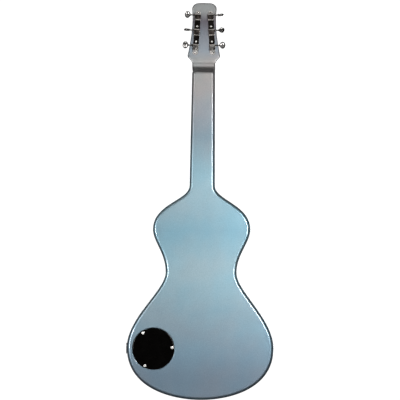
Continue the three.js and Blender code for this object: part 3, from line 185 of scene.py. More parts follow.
# %% Join and cut
def joined(*parts):
    """Several bmeshes as one."""
    whole = bmesh.new()
    for part in parts:
        carrier = bpy.data.meshes.new("carrier")
        part.to_mesh(carrier)
        part.free()
        whole.from_mesh(carrier)
        bpy.data.meshes.remove(carrier)
    return whole


def stand_in(name, bm):
    """A scratch object for a modifier to work on."""
    mesh = bpy.data.meshes.new(name)
    bm.to_mesh(mesh)
    bm.free()
    return in_scene(name, mesh)


def worked(thing, *others):
    """The bmesh that an object's modifiers leave; the scratch objects are then removed."""
    result = bmesh.new()
    result.from_object(thing, bpy.context.evaluated_depsgraph_get())
    for scratch in (thing, *others):
        mesh = scratch.data
        bpy.data.objects.remove(scratch)
        bpy.data.meshes.remove(mesh)
    return result


def carved(bm, *tools, solver="EXACT"):
    """A bmesh with each tool cut away from it in turn."""
    for tool in tools:
        wood, blade = stand_in("wood", bm), stand_in("blade", tool)
        cut = wood.modifiers.new("cut", "BOOLEAN")
        cut.operation = "DIFFERENCE"
        cut.solver = solver
        cut.object = blade
        bm = worked(wood, blade)
        bmesh.ops.remove_doubles(bm, verts=bm.verts, dist=WELD)
    return bm


# %% Finish a piece
CREASE = math.radians(32)
made = []


def finish(name, bm, material, body="guitar", replaces=()):
    """Gives a bmesh its real size, shading and material, and lets it ride on a body."""
    bmesh.ops.remove_doubles(bm, verts=bm.verts, dist=WELD)
    bmesh.ops.recalc_face_normals(bm, faces=bm.faces)
    bmesh.ops.scale(bm, vec=(MM, MM, MM), verts=bm.verts)
    for face in bm.faces:
        face.smooth = True
    for edge in bm.edges:
        edge.smooth = len(edge.link_faces) == 2 and edge.calc_face_angle() < CREASE
    mesh = bpy.data.meshes.new(name)
    bm.to_mesh(mesh)
    bm.free()
    mesh.materials.append(material)
    piece = in_scene(name, mesh)
    weighted = piece.modifiers.new("weighted", "WEIGHTED_NORMAL")
    weighted.keep_sharp = True
    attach(piece, body)
    if replaces:
        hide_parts(*replaces)
    made.append(piece)
    print(name, "has", len(mesh.polygons), "faces and rides on", body)
    return piece


# %% [markdown]
# ## Finishes
# Each finish is a Principled shader with a pattern in Object coordinates, so a scratch or
# a flake stays where it is on the piece. Numbers that are the same all over a surface are
# set on the shader itself, and only what changes over the surface comes from nodes.

# %% Helpers for nodes
def add(tree, kind, settings=None, **inputs):
    """A node with its own settings and its inputs filled in; an underscore is a space."""
    made_node = tree.nodes.new("ShaderNode" + kind)
    for name, value in (settings or {}).items():
        setattr(made_node, name, value)
    for name, value in inputs.items():
        socket = made_node.inputs[name.replace("_", " ")]
        if isinstance(value, bpy.types.NodeSocket):
            tree.links.new(value, socket)
        else:
            socket.default_value = value
    return made_node


def blank_finish(slot, name=None, **inputs):
    """A new material for a slot of the record, its tree and its shader."""
    material = bpy.data.materials.new(name or slot)
    material.use_nodes = True
    material["slot"] = slot
    tree = material.node_tree
    shader = tree.nodes["Principled BSDF"]
    for key, value in inputs.items():
        shader.inputs[key.replace("_", " ")].default_value = value
    return material, tree, shader


def feed(tree, shader, **sockets):
    """Links each value to the shader's socket of the same name."""
    for name, value in sockets.items():
        tree.links.new(value, shader.inputs[name.replace("_", " ")])


# %% Helpers for patterns
# A Mix node has sockets for every kind of value; these are the ones that mix colours.
SHARE, FIRST_COLOUR, SECOND_COLOUR, MIXED_COLOUR = 0, 6, 7, 2


def grey(value):
    return value, value, value


def on_object(tree, stretch=(1, 1, 1)):
    """Object coordinates, squeezed or stretched along each axis."""
    where = add(tree, "TexCoord").outputs["Object"]
    return add(tree, "Mapping", Vector=where, Scale=stretch).outputs["Vector"]


def noise(tree, where, scale, detail=2.0, rough=0.5):
    grain = add(tree, "TexNoise", Vector=where, Scale=scale, Detail=detail, Roughness=rough)
    return grain.outputs["Fac"]


def ramp(tree, value, stops):
    """A colour ramp from pairs of position and colour."""
    made_ramp = add(tree, "ValToRGB", Fac=value)
    band = made_ramp.color_ramp
    band.elements[0].position, band.elements[0].color = stops[0][0], (*stops[0][1], 1)
    band.elements[1].position, band.elements[1].color = stops[-1][0], (*stops[-1][1], 1)
    for position, colour in stops[1:-1]:
        band.elements.new(position).color = (*colour, 1)
    return made_ramp.outputs["Color"]


def spread(tree, value, low, high, start=0.0, end=1.0):
    """Stretches a value from one range to another."""
    mapped = add(
        tree, "MapRange", Value=value, From_Min=start, From_Max=end, To_Min=low, To_Max=high,
    )
    return mapped.outputs["Result"]


def multiplied(tree, colour, *others):
    """Multiplies a colour by each of the others in turn."""
    for other in others:
        mixer = add(tree, "Mix", {"data_type": "RGBA", "blend_type": "MULTIPLY"})
        mixer.inputs[SHARE].default_value = 1.0
        tree.links.new(colour, mixer.inputs[FIRST_COLOUR])
        tree.links.new(other, mixer.inputs[SECOND_COLOUR])
        colour = mixer.outputs[MIXED_COLOUR]
    return colour


def relief(tree, shader, height, depth, strength):
    """Bump from a height, its depth in millimetres."""
    bump = add(tree, "Bump", Height=height, Distance=depth * MM, Strength=strength)
    tree.links.new(bump.outputs["Normal"], shader.inputs["Normal"])


# %% [markdown]
# ### Metallic lacquer
# The colour coat holds fine aluminium flakes, each tilted a little differently, under a
# clear coat that shines like glass. The flakes are a very fine noise that changes both
# the brightness and the tilt of the surface; the clear coat is the shader's own coat
# layer. The colour fades from ice blue on the body to a warm silver on the head and
# drifts a little between grey and cyan. It is darker towards the butt as painted shade.
# The head carries a painted reflection in blue and grey bands, with a dark band of
# painted shade across it. The cove has painted shade at its foot and a painted highlight
# at its top, as the photograph shows it.

# %% Tones from the butt to the crown, with painted shade, reflection and highlight
SHADED_BUTT_BLUE = (0.215, 0.29, 0.36)
HALF_SHADED_BLUE = (0.24, 0.345, 0.425)
ICE_BLUE = (0.33, 0.495, 0.565)
DEEP_ICE = (0.26, 0.435, 0.52)
STEEL_BLUE = (0.26, 0.345, 0.40)
PALE_STEEL = (0.35, 0.375, 0.405)
WARM_SILVER = (0.43, 0.425, 0.415)
PAINTED_REFLECTION_BLUE = (0.36, 0.42, 0.475)
SHADED_SLATE = (0.27, 0.305, 0.345)
PAINTED_HEAD_SHADE = (0.165, 0.155, 0.18)
COVE_SHADE = (0.16, 0.155, 0.15)
PAINTED_COVE_HIGHLIGHT = (0.60, 0.58, 0.56)
LOWEST, HIGHEST = -0.14, 0.78
# The darker stops at the butt are painted shade. The blue and grey bands on the head are a painted
# reflection, with a dark band of painted shade. The cove's dark foot is painted shade and its bright
# top is a painted highlight.
TONES_AND_PAINTED_SHADE = [
    (-0.13, SHADED_BUTT_BLUE), (-0.08, SHADED_BUTT_BLUE), (-0.03, HALF_SHADED_BLUE), (0.14, ICE_BLUE),
    (0.18, ICE_BLUE), (0.25, DEEP_ICE), (0.33, ICE_BLUE), (0.37, ICE_BLUE), (0.47, STEEL_BLUE),
    (0.53, PALE_STEEL), (0.60, WARM_SILVER), (0.613, WARM_SILVER), (0.6165, COVE_SHADE),
    (0.638, PAINTED_COVE_HIGHLIGHT), (0.645, WARM_SILVER), (0.667, PAINTED_REFLECTION_BLUE),
    (0.70, SHADED_SLATE), (0.735, PAINTED_HEAD_SHADE), (0.757, WARM_SILVER),
]


def share_of_height(z):
    """Where a height in metres lies between the lowest and the highest."""
    return (z - LOWEST) / (HIGHEST - LOWEST)


# %% Metallic ice-blue lacquer
def metallic_lacquer():
    """The tones with their painted shade, reflection and highlight, drifting and clouded, under a
    mottle and a glitter of flakes.
    """
    material, tree, shader = blank_finish(
        "metallic_blue_lacquer", Metallic=0.85, Coat_Weight=1.0, Coat_Roughness=0.03, Coat_IOR=1.7,
    )
    where = on_object(tree)
    height = add(tree, "SeparateXYZ", Vector=where).outputs["Z"]
    tones_and_shade = ramp(tree, spread(tree, height, 0.0, 1.0, LOWEST, HIGHEST), [
        (share_of_height(z), tone) for z, tone in TONES_AND_PAINTED_SHADE
    ])
    drift = ramp(tree, noise(tree, where, 9, 3), [
        (0.38, (1.07, 0.98, 0.96)), (0.62, (0.94, 1.0, 1.02)),
    ])
    cloud = ramp(tree, noise(tree, where, 24, 4, 0.6), [(0.3, (0.92, 0.93, 0.94)), (0.7, grey(1))])
    mottle = ramp(tree, noise(tree, where, 330), [(0.3, grey(0.90)), (0.7, grey(1.04))])
    flakes = noise(tree, where, 1500, 1)
    glitter = ramp(tree, flakes, [(0.32, grey(0.84)), (0.68, grey(1.06))])
    feed(
        tree, shader, Base_Color=multiplied(tree, tones_and_shade, drift, cloud, mottle, glitter),
        Roughness=spread(tree, noise(tree, where, 300), 0.35, 0.43),
    )
    relief(tree, shader, flakes, 0.02, 0.35)
    return material


lacquer = metallic_lacquer()
print("tones in the lacquer:", len(TONES_AND_PAINTED_SHADE))

# %% [markdown]
# ### Metals
# Chrome is a mirror with a few smudges; nickel and plain steel are duller, with a fine
# directional brushing; brass is warm. Where two metals differ only in colour and gloss,
# one function makes them. The chrome on the head comes in several copies that paint
# light and shade. The flats of the strips and the shafts are darkened as a painted dark
# reflection of the room, and the bends and rims are lighter as a painted highlight. The
# lowest housing and the ends of the strips are lighter and satin as a painted
# reflection. The oval buttons are bright.

# %% Plated and plain metals
def metal(slot, colour, gloss, brush=(1, 1, 1), name=None, tarnish=0.82):
    """A metal: smudges change its roughness, and tarnish darkens it in patches."""
    material, tree, shader = blank_finish(slot, name, Metallic=1.0)
    where = on_object(tree)
    smudge = noise(tree, where, 120, 3)
    dulled = tuple(part * tarnish for part in colour)
    brushed = noise(tree, on_object(tree, brush), 900)
    feed(
        tree, shader,
        Base_Color=ramp(tree, smudge, [(0.35, dulled), (0.6, colour)]),
        Roughness=spread(tree, smudge, gloss * 0.7, gloss * 1.5, 0.3, 0.7),
    )
    relief(tree, shader, brushed, 0.012, 0.25)
    return material


chrome = metal("chrome", (0.78, 0.76, 0.74), 0.075)
housing_chrome = metal("chrome", (0.52, 0.44, 0.40), 0.13, (1, 1, 6), "stamped_chrome", 0.8)
# A lighter, rougher copy of the chrome for the lowest housing's flats: a painted reflection of
# brighter light.
lower_painted_light_chrome = metal("chrome", (0.54, 0.51, 0.48), 0.185, (1, 1, 6), "lower_painted_light_chrome", 0.7)
# Darkened chrome for the key shafts: a painted dark reflection.
painted_dark_shaft_chrome = metal("chrome", (0.26, 0.24, 0.23), 0.12, name="painted_dark_shaft_chrome", tarnish=0.8)
# A lighter, rougher copy of the chrome for the ends of the strips: a painted reflection.
satin_painted_light_end = metal("chrome", (0.44, 0.43, 0.42), 0.35, name="satin_painted_light_end", tarnish=0.85)
# Darkened chrome for the flats of the strips: a painted dark reflection of the room.
painted_dark_strip_chrome = metal("chrome", (0.36, 0.31, 0.28), 0.09, name="painted_dark_strip_chrome", tarnish=0.8)
button_chrome = metal("chrome", (0.64, 0.62, 0.60), 0.19, name="button_chrome", tarnish=0.9)
# A lighter, rougher copy of the chrome for the bends and rims: a painted highlight.
painted_highlight_bend = metal("chrome", (0.80, 0.76, 0.72), 0.46, (6, 1, 1), "painted_highlight_bend", 0.9)
satin_nickel = metal("nickel_screws", (0.90, 0.88, 0.85), 0.34, name="satin_nickel", tarnish=0.9)
plated_steel = metal("plated_steel", (0.55, 0.55, 0.54), 0.3, (1, 1, 8))
nickel = metal("nickel_screws", (0.74, 0.71, 0.67), 0.16)
brass = metal("brass", (0.66, 0.47, 0.20), 0.28, (8, 1, 8))
plain_string = metal("string_steel", (0.72, 0.72, 0.71), 0.18, (1, 1, 0.1), "plain_string")

# %% Wound strings
# A wave texture whose scale is 1 has about three bands to a metre.
WINDINGS_PER_METRE = 3200
BANDS_AT_SCALE_ONE = 20 / FULL_TURN


def wound_string():
    """Round wire wrapped closely about a core, seen as fine rings along the string, with painted
    shade darkening the grooves between the windings.
    """
    material, tree, shader = blank_finish("string_steel", "wound_string", Metallic=1.0)
    where = on_object(tree)
    rings = add(
        tree, "TexWave", {"wave_type": "BANDS", "bands_direction": "Z", "wave_profile": "SIN"},
        Vector=where, Scale=WINDINGS_PER_METRE / BANDS_AT_SCALE_ONE, Distortion=0.0,
    ).outputs["Fac"]
    # The dark end of the rings' colour is painted shade in the grooves between the windings.
    feed(
        tree, shader,
        Base_Color=ramp(tree, rings, [(0.1, (0.20, 0.19, 0.18)), (0.7, (0.68, 0.66, 0.63))]),
        Roughness=spread(tree, noise(tree, where, 200), 0.22, 0.34),
    )
    relief(tree, shader, rings, 0.08, 0.6)
    return material


wound_steel = wound_string()

# %% [markdown]
# ### Wood, bone and plastics
# The fretboard is oiled rosewood: long dark pores over brown streaks, so the noise is
# stretched along the neck. The nut and the marker dots are bone and pearl. The black
# plastics differ in gloss: the cover and the knobs are polished, the pickups satin.

# %% Rosewood
def oiled_rosewood():
    """Brown streaks and dark open pores, both drawn out along the neck."""
    material, tree, shader = blank_finish("rosewood", Specular_IOR_Level=0.35)
    streaks = noise(tree, on_object(tree, (1, 1, 0.05)), 320, 5, 0.6)
    pores = noise(tree, on_object(tree, (1, 1, 0.03)), 1600)
    brown = ramp(tree, streaks, [
        (0.3, (0.018, 0.008, 0.006)), (0.5, (0.055, 0.024, 0.015)), (0.7, (0.110, 0.050, 0.028)),
    ])
    pored = ramp(tree, pores, [(0.38, grey(0.45)), (0.48, grey(1))])
    feed(
        tree, shader, Base_Color=multiplied(tree, brown, pored),
        Roughness=spread(tree, pores, 0.62, 0.42),
    )
    relief(tree, shader, pores, 0.06, 0.5)
    return material


# %% Bone and pearl
def polished_bone():
    """Cream with faint flecks under a dull polish."""
    material, tree, shader = blank_finish("bone", Coat_Weight=0.3, Coat_Roughness=0.15)
    flecks = noise(tree, on_object(tree, (1, 1, 0.2)), 500, 3)
    feed(
        tree, shader,
        Base_Color=ramp(tree, flecks, [(0.35, (0.70, 0.62, 0.46)), (0.6, (0.82, 0.77, 0.64))]),
        Roughness=spread(tree, flecks, 0.3, 0.45),
    )
    relief(tree, shader, flecks, 0.03, 0.3)
    return material


def marker_pearl():
    """A swirl of cool and warm whites under a clear polish."""
    material, tree, shader = blank_finish(
        "bone", "marker_pearl", Coat_Weight=0.6, Coat_Roughness=0.05,
    )
    swirl = noise(tree, on_object(tree), 260, 4, 0.65)
    feed(
        tree, shader,
        Base_Color=ramp(tree, swirl, [
            (0.35, (0.55, 0.62, 0.62)), (0.5, (0.82, 0.80, 0.76)), (0.65, (0.66, 0.72, 0.78)),
        ]),
        Roughness=spread(tree, swirl, 0.18, 0.35),
    )
    relief(tree, shader, swirl, 0.02, 0.2)
    return material


rosewood, bone, pearl = oiled_rosewood(), polished_bone(), marker_pearl()


# %% Black plastics
def plastic(slot, colour, gloss, grain=600):
    """A moulded plastic with a faint grain and handling marks."""
    material, tree, shader = blank_finish(slot, Specular_IOR_Level=0.3)
    where = on_object(tree)
    marks = noise(tree, where, 60, 4, 0.6)
    worn = tuple(part * 1.3 + 0.0004 for part in colour)
    feed(
        tree, shader,
        Base_Color=ramp(tree, marks, [(0.45, colour), (0.75, worn)]),
        Roughness=spread(tree, marks, gloss * 0.8, gloss * 1.4, 0.3, 0.7),
    )
    relief(tree, shader, noise(tree, where, grain), 0.01, 0.3)
    return material


cover_black = plastic("cover_black", (0.0012, 0.0010, 0.0009), 0.09)
pickup_black = plastic("pickup_black", (0.010, 0.010, 0.011), 0.42, 1200)
knob_black = plastic("knob_black", (0.006, 0.006, 0.007), 0.2)
print("finishes:", len(bpy.data.materials))

# %% [markdown]
# ## Body, neck and head
# On the real guitar all of this is one piece of wood under one finish. Its outline is
# drawn as Bezier curves down one side and mirrored, filled and extruded to the depth of
# the body. The thinner head is then cut in from behind with a blade whose side view is a
# quarter round, which leaves the cove. The rims are rounded with a bevel whose width
# follows a weight on each edge: the long rims before the cut, so that they run straight
# into it, and the rims of the head and the neck's end after it. A stack of rings would
# also do, but the bevel keeps one even round along the rim, and that is what light shows.

# %% Curves of one side, from the butt to the crown
DEPTH = 44
NUT = 635
NECK_HALF, HEEL_HALF, HEEL_Z = 26.6, 29.5, 355.9
BODY_CURVES = [
    ((0, -137), (66.338, -137), (168.8, -111.659), (168.8, -16.9)),
    ((168.8, -16.9), (168.8, 51.42), (81.8, 113.497), (81.8, 156.5)),
    ((81.8, 156.5), (81.8, 199.807), (112.2, 225.969), (112.2, 255.6)),
    ((112.2, 255.6), (112.2, 313.172), (HEEL_HALF, 322.5), (HEEL_HALF, HEEL_Z)),
]
HEAD_CURVES = [
    ((NECK_HALF, NUT), (NECK_HALF, 639.0), (28.9, 642.2), (35.2, 649.6)),
    ((35.2, 649.6), (37.2, 651.6), (38.0, 653.4), (37.57, 655.6)),
    ((37.57, 655.6), (31.02, 687.9), (24.48, 723.3), (28.5, 763)),
    ((28.5, 763), (28.5, 770), (21.4, 776.1), (14.25, 776.55)),
    ((14.25, 776.55), (9.5, 776.85), (4.75, 777), (0, 777)),
]
CURVE_STEPS = 26


# %% Outline, filled and given its depth
def neck_half(z):
    """Half the neck's width at a height."""
    return NECK_HALF + (HEEL_HALF - NECK_HALF) * (NUT - z) / (NUT - HEEL_Z)


def side_outline():
    """The right side as points in x and z."""
    side = [Vector(BODY_CURVES[0][0])]
    for stretch in BODY_CURVES:
        side += interpolate_bezier(*[Vector(point) for point in stretch], CURVE_STEPS)[1:]
    for stretch in HEAD_CURVES:
        side += interpolate_bezier(*[Vector(point) for point in stretch], CURVE_STEPS // 2)
    kept = [side[0]]
    for point in side[1:]:
        if (point - kept[-1]).length > WELD:
            kept.append(point)
    return kept


def blank():
    """The mirrored outline, filled and given the body's depth."""
    right = [(point.x, point.y) for point in side_outline()]
    left = [(-x, z) for x, z in reversed(right) if x > WELD]
    return front_slab(right + left, 0, DEPTH)


# %% Blades that cut the head in
HEAD_BACK, HEAD_FRONT = 24.5, 40.5
COVE_START, STEP_Z = NUT - 18, NUT + 5.3
PAST_CROWN, PAST_SIDE, PAST_BACK, PAST_FRONT = 800, 60, -5, 50


def head_blades():
    """Behind the head: a quarter round and a long flat. In front: the step past the nut."""
    sweep = arc(HEAD_BACK, (COVE_START + HEAD_BACK, 0), 170, 90, 12)
    cove_view = [
        (COVE_START, 0), *sweep, (PAST_CROWN, HEAD_BACK), (PAST_CROWN, PAST_BACK),
        (COVE_START, PAST_BACK),
    ]
    step = block(-PAST_SIDE, PAST_SIDE, HEAD_FRONT, PAST_FRONT, STEP_Z, PAST_CROWN)
    return side_slab(cove_view, -PAST_SIDE, PAST_SIDE), step


# %% Which rims are rounded, and how far
# Directions are parts of a face's normal: nearly 1 along an axis means square to it.
BACK_RIM, HEAD_RIM, NECK_END_RIM, FRONT_RIM = 8.0, 3.4, 2.4, 2.0
SQUARE_ON, TURNED_BACK, TURNED_ASIDE = 0.98, -0.04, 0.01
LEAST_TURN = math.radians(20)


def long_rim(edge):
    """Width of the rims of body and neck, which run on to where the head is cut in."""
    if max(vert.co.z for vert in edge.verts) > STEP_Z + 3:
        return 0
    depths = [vert.co.y for vert in edge.verts]
    if max(depths) < WELD:
        return BACK_RIM
    return FRONT_RIM if min(depths) > DEPTH - WELD else 0


def is_cut(face):
    """True for the cove and the head's back, the faces that the first blade leaves."""
    normal, middle = face.normal, face.calc_center_median()
    return middle.z > COVE_START and normal.y < TURNED_BACK and abs(normal.x) < TURNED_ASIDE


def is_head_face(face):
    """True for the front of the head, past the step."""
    return face.normal.y > SQUARE_ON and face.calc_center_median().z > STEP_Z


def is_step(face):
    """True for the low step past the nut."""
    return abs(face.normal.z) > SQUARE_ON and abs(face.calc_center_median().z - STEP_Z) < 1


def head_rim(edge):
    """Width of the rims round the cove, the head's back and the head's face."""
    faces = list(edge.link_faces)
    if len(faces) != 2 or edge.calc_face_angle() < LEAST_TURN:
        return 0
    if is_cut(faces[0]) != is_cut(faces[1]):
        on_back = max(vert.co.y for vert in edge.verts) < WELD
        return NECK_END_RIM if on_back else HEAD_RIM
    return FRONT_RIM if any(map(is_head_face, faces)) and not any(map(is_step, faces)) else 0


# %% Body shell
def with_rims(bm, width_of, widest, segments):
    """Bevels every edge by its own width."""
    bmesh.ops.recalc_face_normals(bm, faces=bm.faces)
    layers = bm.edges.layers.float
    weights = layers.get("bevel_weight_edge") or layers.new("bevel_weight_edge")
    for edge in bm.edges:
        edge[weights] = width_of(edge) / widest
    wood = stand_in("wood", bm)
    bevel = wood.modifiers.new("rims", "BEVEL")
    bevel.limit_method = "WEIGHT"
    bevel.offset_type = "OFFSET"
    bevel.width = widest
    bevel.segments = segments
    bevel.profile = 0.5
    bevel.use_clamp_overlap = False
    return worked(wood)


shell = with_rims(blank(), long_rim, BACK_RIM, 10)
shell = with_rims(carved(shell, *head_blades()), head_rim, HEAD_RIM, 6)
print("body shell:", len(shell.faces), "faces")

# %% [markdown]
# ### Pockets and holes
# The wood is drilled and routed for all that it carries: a round cavity in the back with
# a shallow recess for its cover, two pickup pockets, wire bores between them, the jack
# hole in the side, and holes for posts and screws. Cylinders and rounded blocks are cut
# from the shell one after another. The lip of the cover recess is eased, which is the
# thin bright ring that shows round the cover.

# %% Places of the tuner strips
STRIP_OFFSET, STRIP_CENTRE, STRIP_SPLAY = 17, NUT + 72.3, math.radians(3.5)
STRIP_LENGTH, STRIP_HALF = 101.3, 6.5
SHAFT_HEIGHTS = [-29.25, 5.75, 40.75]
GEAR_CENTRES = 6.1
STRIP_SCREWS = [47.25, 15.55, -19.45, -45.15]
WORM_Y = 20.5
POST_HEIGHTS = [height - GEAR_CENTRES for height in SHAFT_HEIGHTS]


def strip_frame(side):
    """The frame of a tuner strip: x across it, z along it towards the crown."""
    turn = Matrix.Rotation(-side * STRIP_SPLAY, 4, "Y")
    return Matrix.Translation((side * STRIP_OFFSET, 0, STRIP_CENTRE)) @ turn


def on_strip(side, x, y, z):
    return strip_frame(side) @ Vector((x, y, z))


# %% Places of the controls
CONTROL_X, CONTROL_Z, KNOB_OFFSET, SELECTOR_OFFSET = -107.5, -20, 20, 25
COVER_RADIUS, SCREW_CIRCLE = 48, 43.3
CONTROLS = {
    "volume": (CONTROL_X, CONTROL_Z + KNOB_OFFSET), "tone": (CONTROL_X, CONTROL_Z - KNOB_OFFSET),
}
SELECTOR = (CONTROL_X + SELECTOR_OFFSET, CONTROL_Z)
COVER_SCREWS = [
    (CONTROL_X + SCREW_CIRCLE * math.cos(a), CONTROL_Z + SCREW_CIRCLE * math.sin(a))
    for a in map(math.radians, (4, 124, 244))
]
BRIDGE_SCREWS = [(side * 42, z) for side in (-1, 1) for z in (7, -16)]
PICKUPS = {"bridge_pickup": 42, "neck_pickup": 126}
JACK_Y, JACK_X = 23, -168.8


def drill(radius, x, z, y0, y1, steps=32):
    """A cylinder along the depth of the guitar."""
    return rod(radius, (x, y0, z), (x, y1, z), steps)


# %% Sizes of the pockets and holes
LIP, RECESS, COVER_GAP = 1.5, 2.4, 0.3
CAVITY_RADIUS, CAVITY_FLOOR = 39, 38
POT_HOLE, SWITCH_HOLE, POST_HOLE, JACK_HOLE = 4.9, 4.5, 5.0, 12.3
FLUSH_HOLE, PAN_HOLE = 1.9, 1.6
COVER_SCREW_END, BRIDGE_SCREW_END, STRIP_SCREW_END = 16.4, 30, 33.8
PICKUP_HALF, PICKUP_REACH, PICKUP_CORNER, PICKUP_GAP = 43, 17, 6, 0.6
POCKET_FLOOR = 24
WIRE_BORE, WIRE_X, WIRE_Y = 4, -21.5, 32
THROUGH = DEPTH + 2


def recess_blade():
    """The cover's recess with its eased lip, and the deep cavity inside it."""
    edge = COVER_RADIUS + COVER_GAP
    profile = [
        [0, -3], [edge + LIP, -3], *arc(LIP, (edge + LIP, LIP), -90, -180), [edge, RECESS],
        [CAVITY_RADIUS, RECESS], [CAVITY_RADIUS, CAVITY_FLOOR], [0, CAVITY_FLOOR],
    ]
    return turned(profile, 128, FORWARD, (CONTROL_X, 0, CONTROL_Z))


# %% Cut every pocket and hole
def control_blades():
    """The cavity with its cover's recess, and the holes for controls, screws and jack."""
    blades = [recess_blade()]
    blades += [drill(POT_HOLE, x, z, CAVITY_FLOOR - 2, THROUGH) for x, z in CONTROLS.values()]
    blades.append(drill(SWITCH_HOLE, *SELECTOR, CAVITY_FLOOR - 2, THROUGH))
    blades += [drill(FLUSH_HOLE, x, z, 1, COVER_SCREW_END, 16) for x, z in COVER_SCREWS]
    blades += [drill(FLUSH_HOLE, x, z, BRIDGE_SCREW_END, THROUGH, 16) for x, z in BRIDGE_SCREWS]
    return blades


def head_drills():
    """Holes for the posts and the strips' screws."""
    blades = []
    for side in (-1, 1):
        for height in POST_HEIGHTS:
            x, _, z = on_strip(side, 0, 0, height)
            blades.append(drill(POST_HOLE, x, z, 20, DEPTH))
        for height in STRIP_SCREWS:
            x, _, z = on_strip(side, 0, 0, height)
            blades.append(drill(PAN_HOLE, x, z, 20, STRIP_SCREW_END, 16))
    return blades


def electric_blades():
    """Pockets for the pickups, the jack's hole, and the bores for the wires."""
    pocket = rounded_rectangle(PICKUP_HALF + PICKUP_GAP, PICKUP_REACH + PICKUP_GAP, PICKUP_CORNER)
    blades = [
        shifted(front_slab(pocket, POCKET_FLOOR, THROUGH), z=middle) for middle in PICKUPS.values()
    ]
    jack_end = (JACK_X - 4.2, JACK_Y, CONTROL_Z)
    blades.append(rod(JACK_HOLE, jack_end, (CONTROL_X, JACK_Y, CONTROL_Z), 64))
    bridge_end = (WIRE_X, WIRE_Y, PICKUPS["bridge_pickup"])
    blades.append(rod(WIRE_BORE, (WIRE_X, WIRE_Y, PICKUPS["neck_pickup"]), bridge_end, 16))
    blades.append(rod(WIRE_BORE, bridge_end, (CONTROL_X, WIRE_Y, CONTROL_Z), 16))
    return blades


# The exact solver can leave a facet out of a hole's wall, so the body takes another one.
wood = carved(shell, *control_blades(), *head_drills(), *electric_blades(), solver="MANIFOLD")
finish("lacquered_body", wood, lacquer, replaces=["body"])

# %% [markdown]
# ## Control cover and its screws
# A round black plate closes the cavity, flush with the back. Both the plate and its
# countersunk screws are turned on a lathe, because their section is all there is to them.

# %% Screws
SLOT_WIDTH, SLOT_DEPTH = 0.8, 0.7
FLUSH_HEAD, FLUSH_CONE, FLUSH_SHANK, SINK_RADIUS = 3.3, 1.7, 1.6, 3.65
PAN_HEAD, PAN_EDGE, PAN_TOP, PAN_SHANK = 2.4, 0.45, 1.5, 1.3


def slotted(bm, place, axis, reach):
    """Cuts a driver slot across a screw head."""
    blade = block(-reach, reach, -SLOT_DEPTH, 1.5, -SLOT_WIDTH / 2, SLOT_WIDTH / 2)
    return carved(bm, placed(blade, Matrix.Translation(place) @ turn_towards(axis)))


def flush_screw(place, axis):
    """A countersunk screw whose head is level with a place and faces an axis."""
    profile = [
        [0, -14], [0.5, -13.6], [FLUSH_SHANK, -11.5], [FLUSH_SHANK, -FLUSH_CONE],
        [FLUSH_HEAD, -0.15], [FLUSH_HEAD, 0], [1.8, 0.16], [0, 0.2],
    ]
    return slotted(turned(profile, 32, axis, place), place, axis, FLUSH_HEAD + 0.3)


def countersink(place, axis, above, below):
    """The hole of a flush screw: a cone for its head, open above it, and a bore below."""
    profile = [
        [0, -below], [FLUSH_HOLE, -below], [FLUSH_HOLE, -FLUSH_CONE], [SINK_RADIUS, 0],
        [SINK_RADIUS, above], [0, above],
    ]
    return turned(profile, 32, axis, place)


def domed_screw(place, axis):
    """A pan-headed screw that stands on a place and faces an axis."""
    rise = (PAN_TOP - PAN_EDGE) / PAN_HEAD
    dome = [[x, PAN_EDGE + rise * y] for x, y in arc(PAN_HEAD, (0, 0), 0, 90)]
    profile = [
        [0, -10], [0.4, -9.7], [PAN_SHANK, -7.5], [PAN_SHANK, 0.3], [PAN_HEAD, 0.3], *dome,
    ]
    top = Vector(place) + Vector(axis) * PAN_TOP
    return slotted(turned(profile, 28, axis, place), top, axis, PAN_HEAD + 0.4)


# %% Cover
COVER_FACE, COVER_SEAT = 0.3, 2.1


def cover_plate():
    """A disc with an eased rim, countersunk for its screws."""
    profile = [
        [0, COVER_FACE], [COVER_RADIUS - 1.1, COVER_FACE], [COVER_RADIUS - 0.4, COVER_FACE + 0.2],
        [COVER_RADIUS - 0.05, COVER_FACE + 0.7], [COVER_RADIUS, COVER_SEAT], [0, COVER_SEAT],
    ]
    plate = turned(profile, 128, FORWARD, (CONTROL_X, 0, CONTROL_Z))
    sinks = [countersink((x, COVER_FACE, z), -FORWARD, 0.4, 2.7) for x, z in COVER_SCREWS]
    return carved(plate, *sinks)


finish("cover_plate", cover_plate(), cover_black, replaces=["control_cover"])
for number, (x, z) in enumerate(COVER_SCREWS, 1):
    screw = flush_screw((x, COVER_FACE, z), -FORWARD)
    finish(f"cover_plate_screw_{number}", screw, satin_nickel, replaces=[f"cover_screw_{number}"])

# %% [markdown]
# ## Tuner strips
# Three gear housings are pressed from one long strip of sheet on each side of the head.
# The strip has round ends, whose raised rims are a piece of their own, and each housing
# is a bridge of sheet, open at both sides of its foot. The housing is a bent side view
# extruded across the strip and hollowed with a smaller one. Its faces take three
# finishes: dark flats, a lighter copy on the lowest housing's flats as a painted
# reflection, and a lighter copy on the bends as a painted highlight. The flats of the
# strip are darkened between the housings as a painted dark reflection, and are lighter
# and satin at its ends as a painted reflection.

# %% A housing's side view
HOUSING_BACK, STRIP_BACK, STRIP_FRONT = 17.1, 23.2, 24.2
SHEET, BEND = 0.7, 2.4


def housing_view(low, high, back, front, corner):
    """The side view in z and y, its two outer corners bent round."""
    return [
        (high, front), (low, front),
        *arc(corner, (low + corner, back + corner), 180, 270, 8),
        *arc(corner, (high - corner, back + corner), 270, 360, 8),
    ]


# %% Housing
WHEEL_TIP, WORM_TIP, RUNNING_GAP = 4.7, 2.4, 0.3
SHAFT_HOLE, WORM_HOLE = 1.9, 1.55


def housing_span(height):
    """Foot and head of the housing about a worm shaft at a height along the strip."""
    low = height - GEAR_CENTRES - WHEEL_TIP - RUNNING_GAP - SHEET
    high = height + WORM_TIP + RUNNING_GAP + SHEET
    return low, high


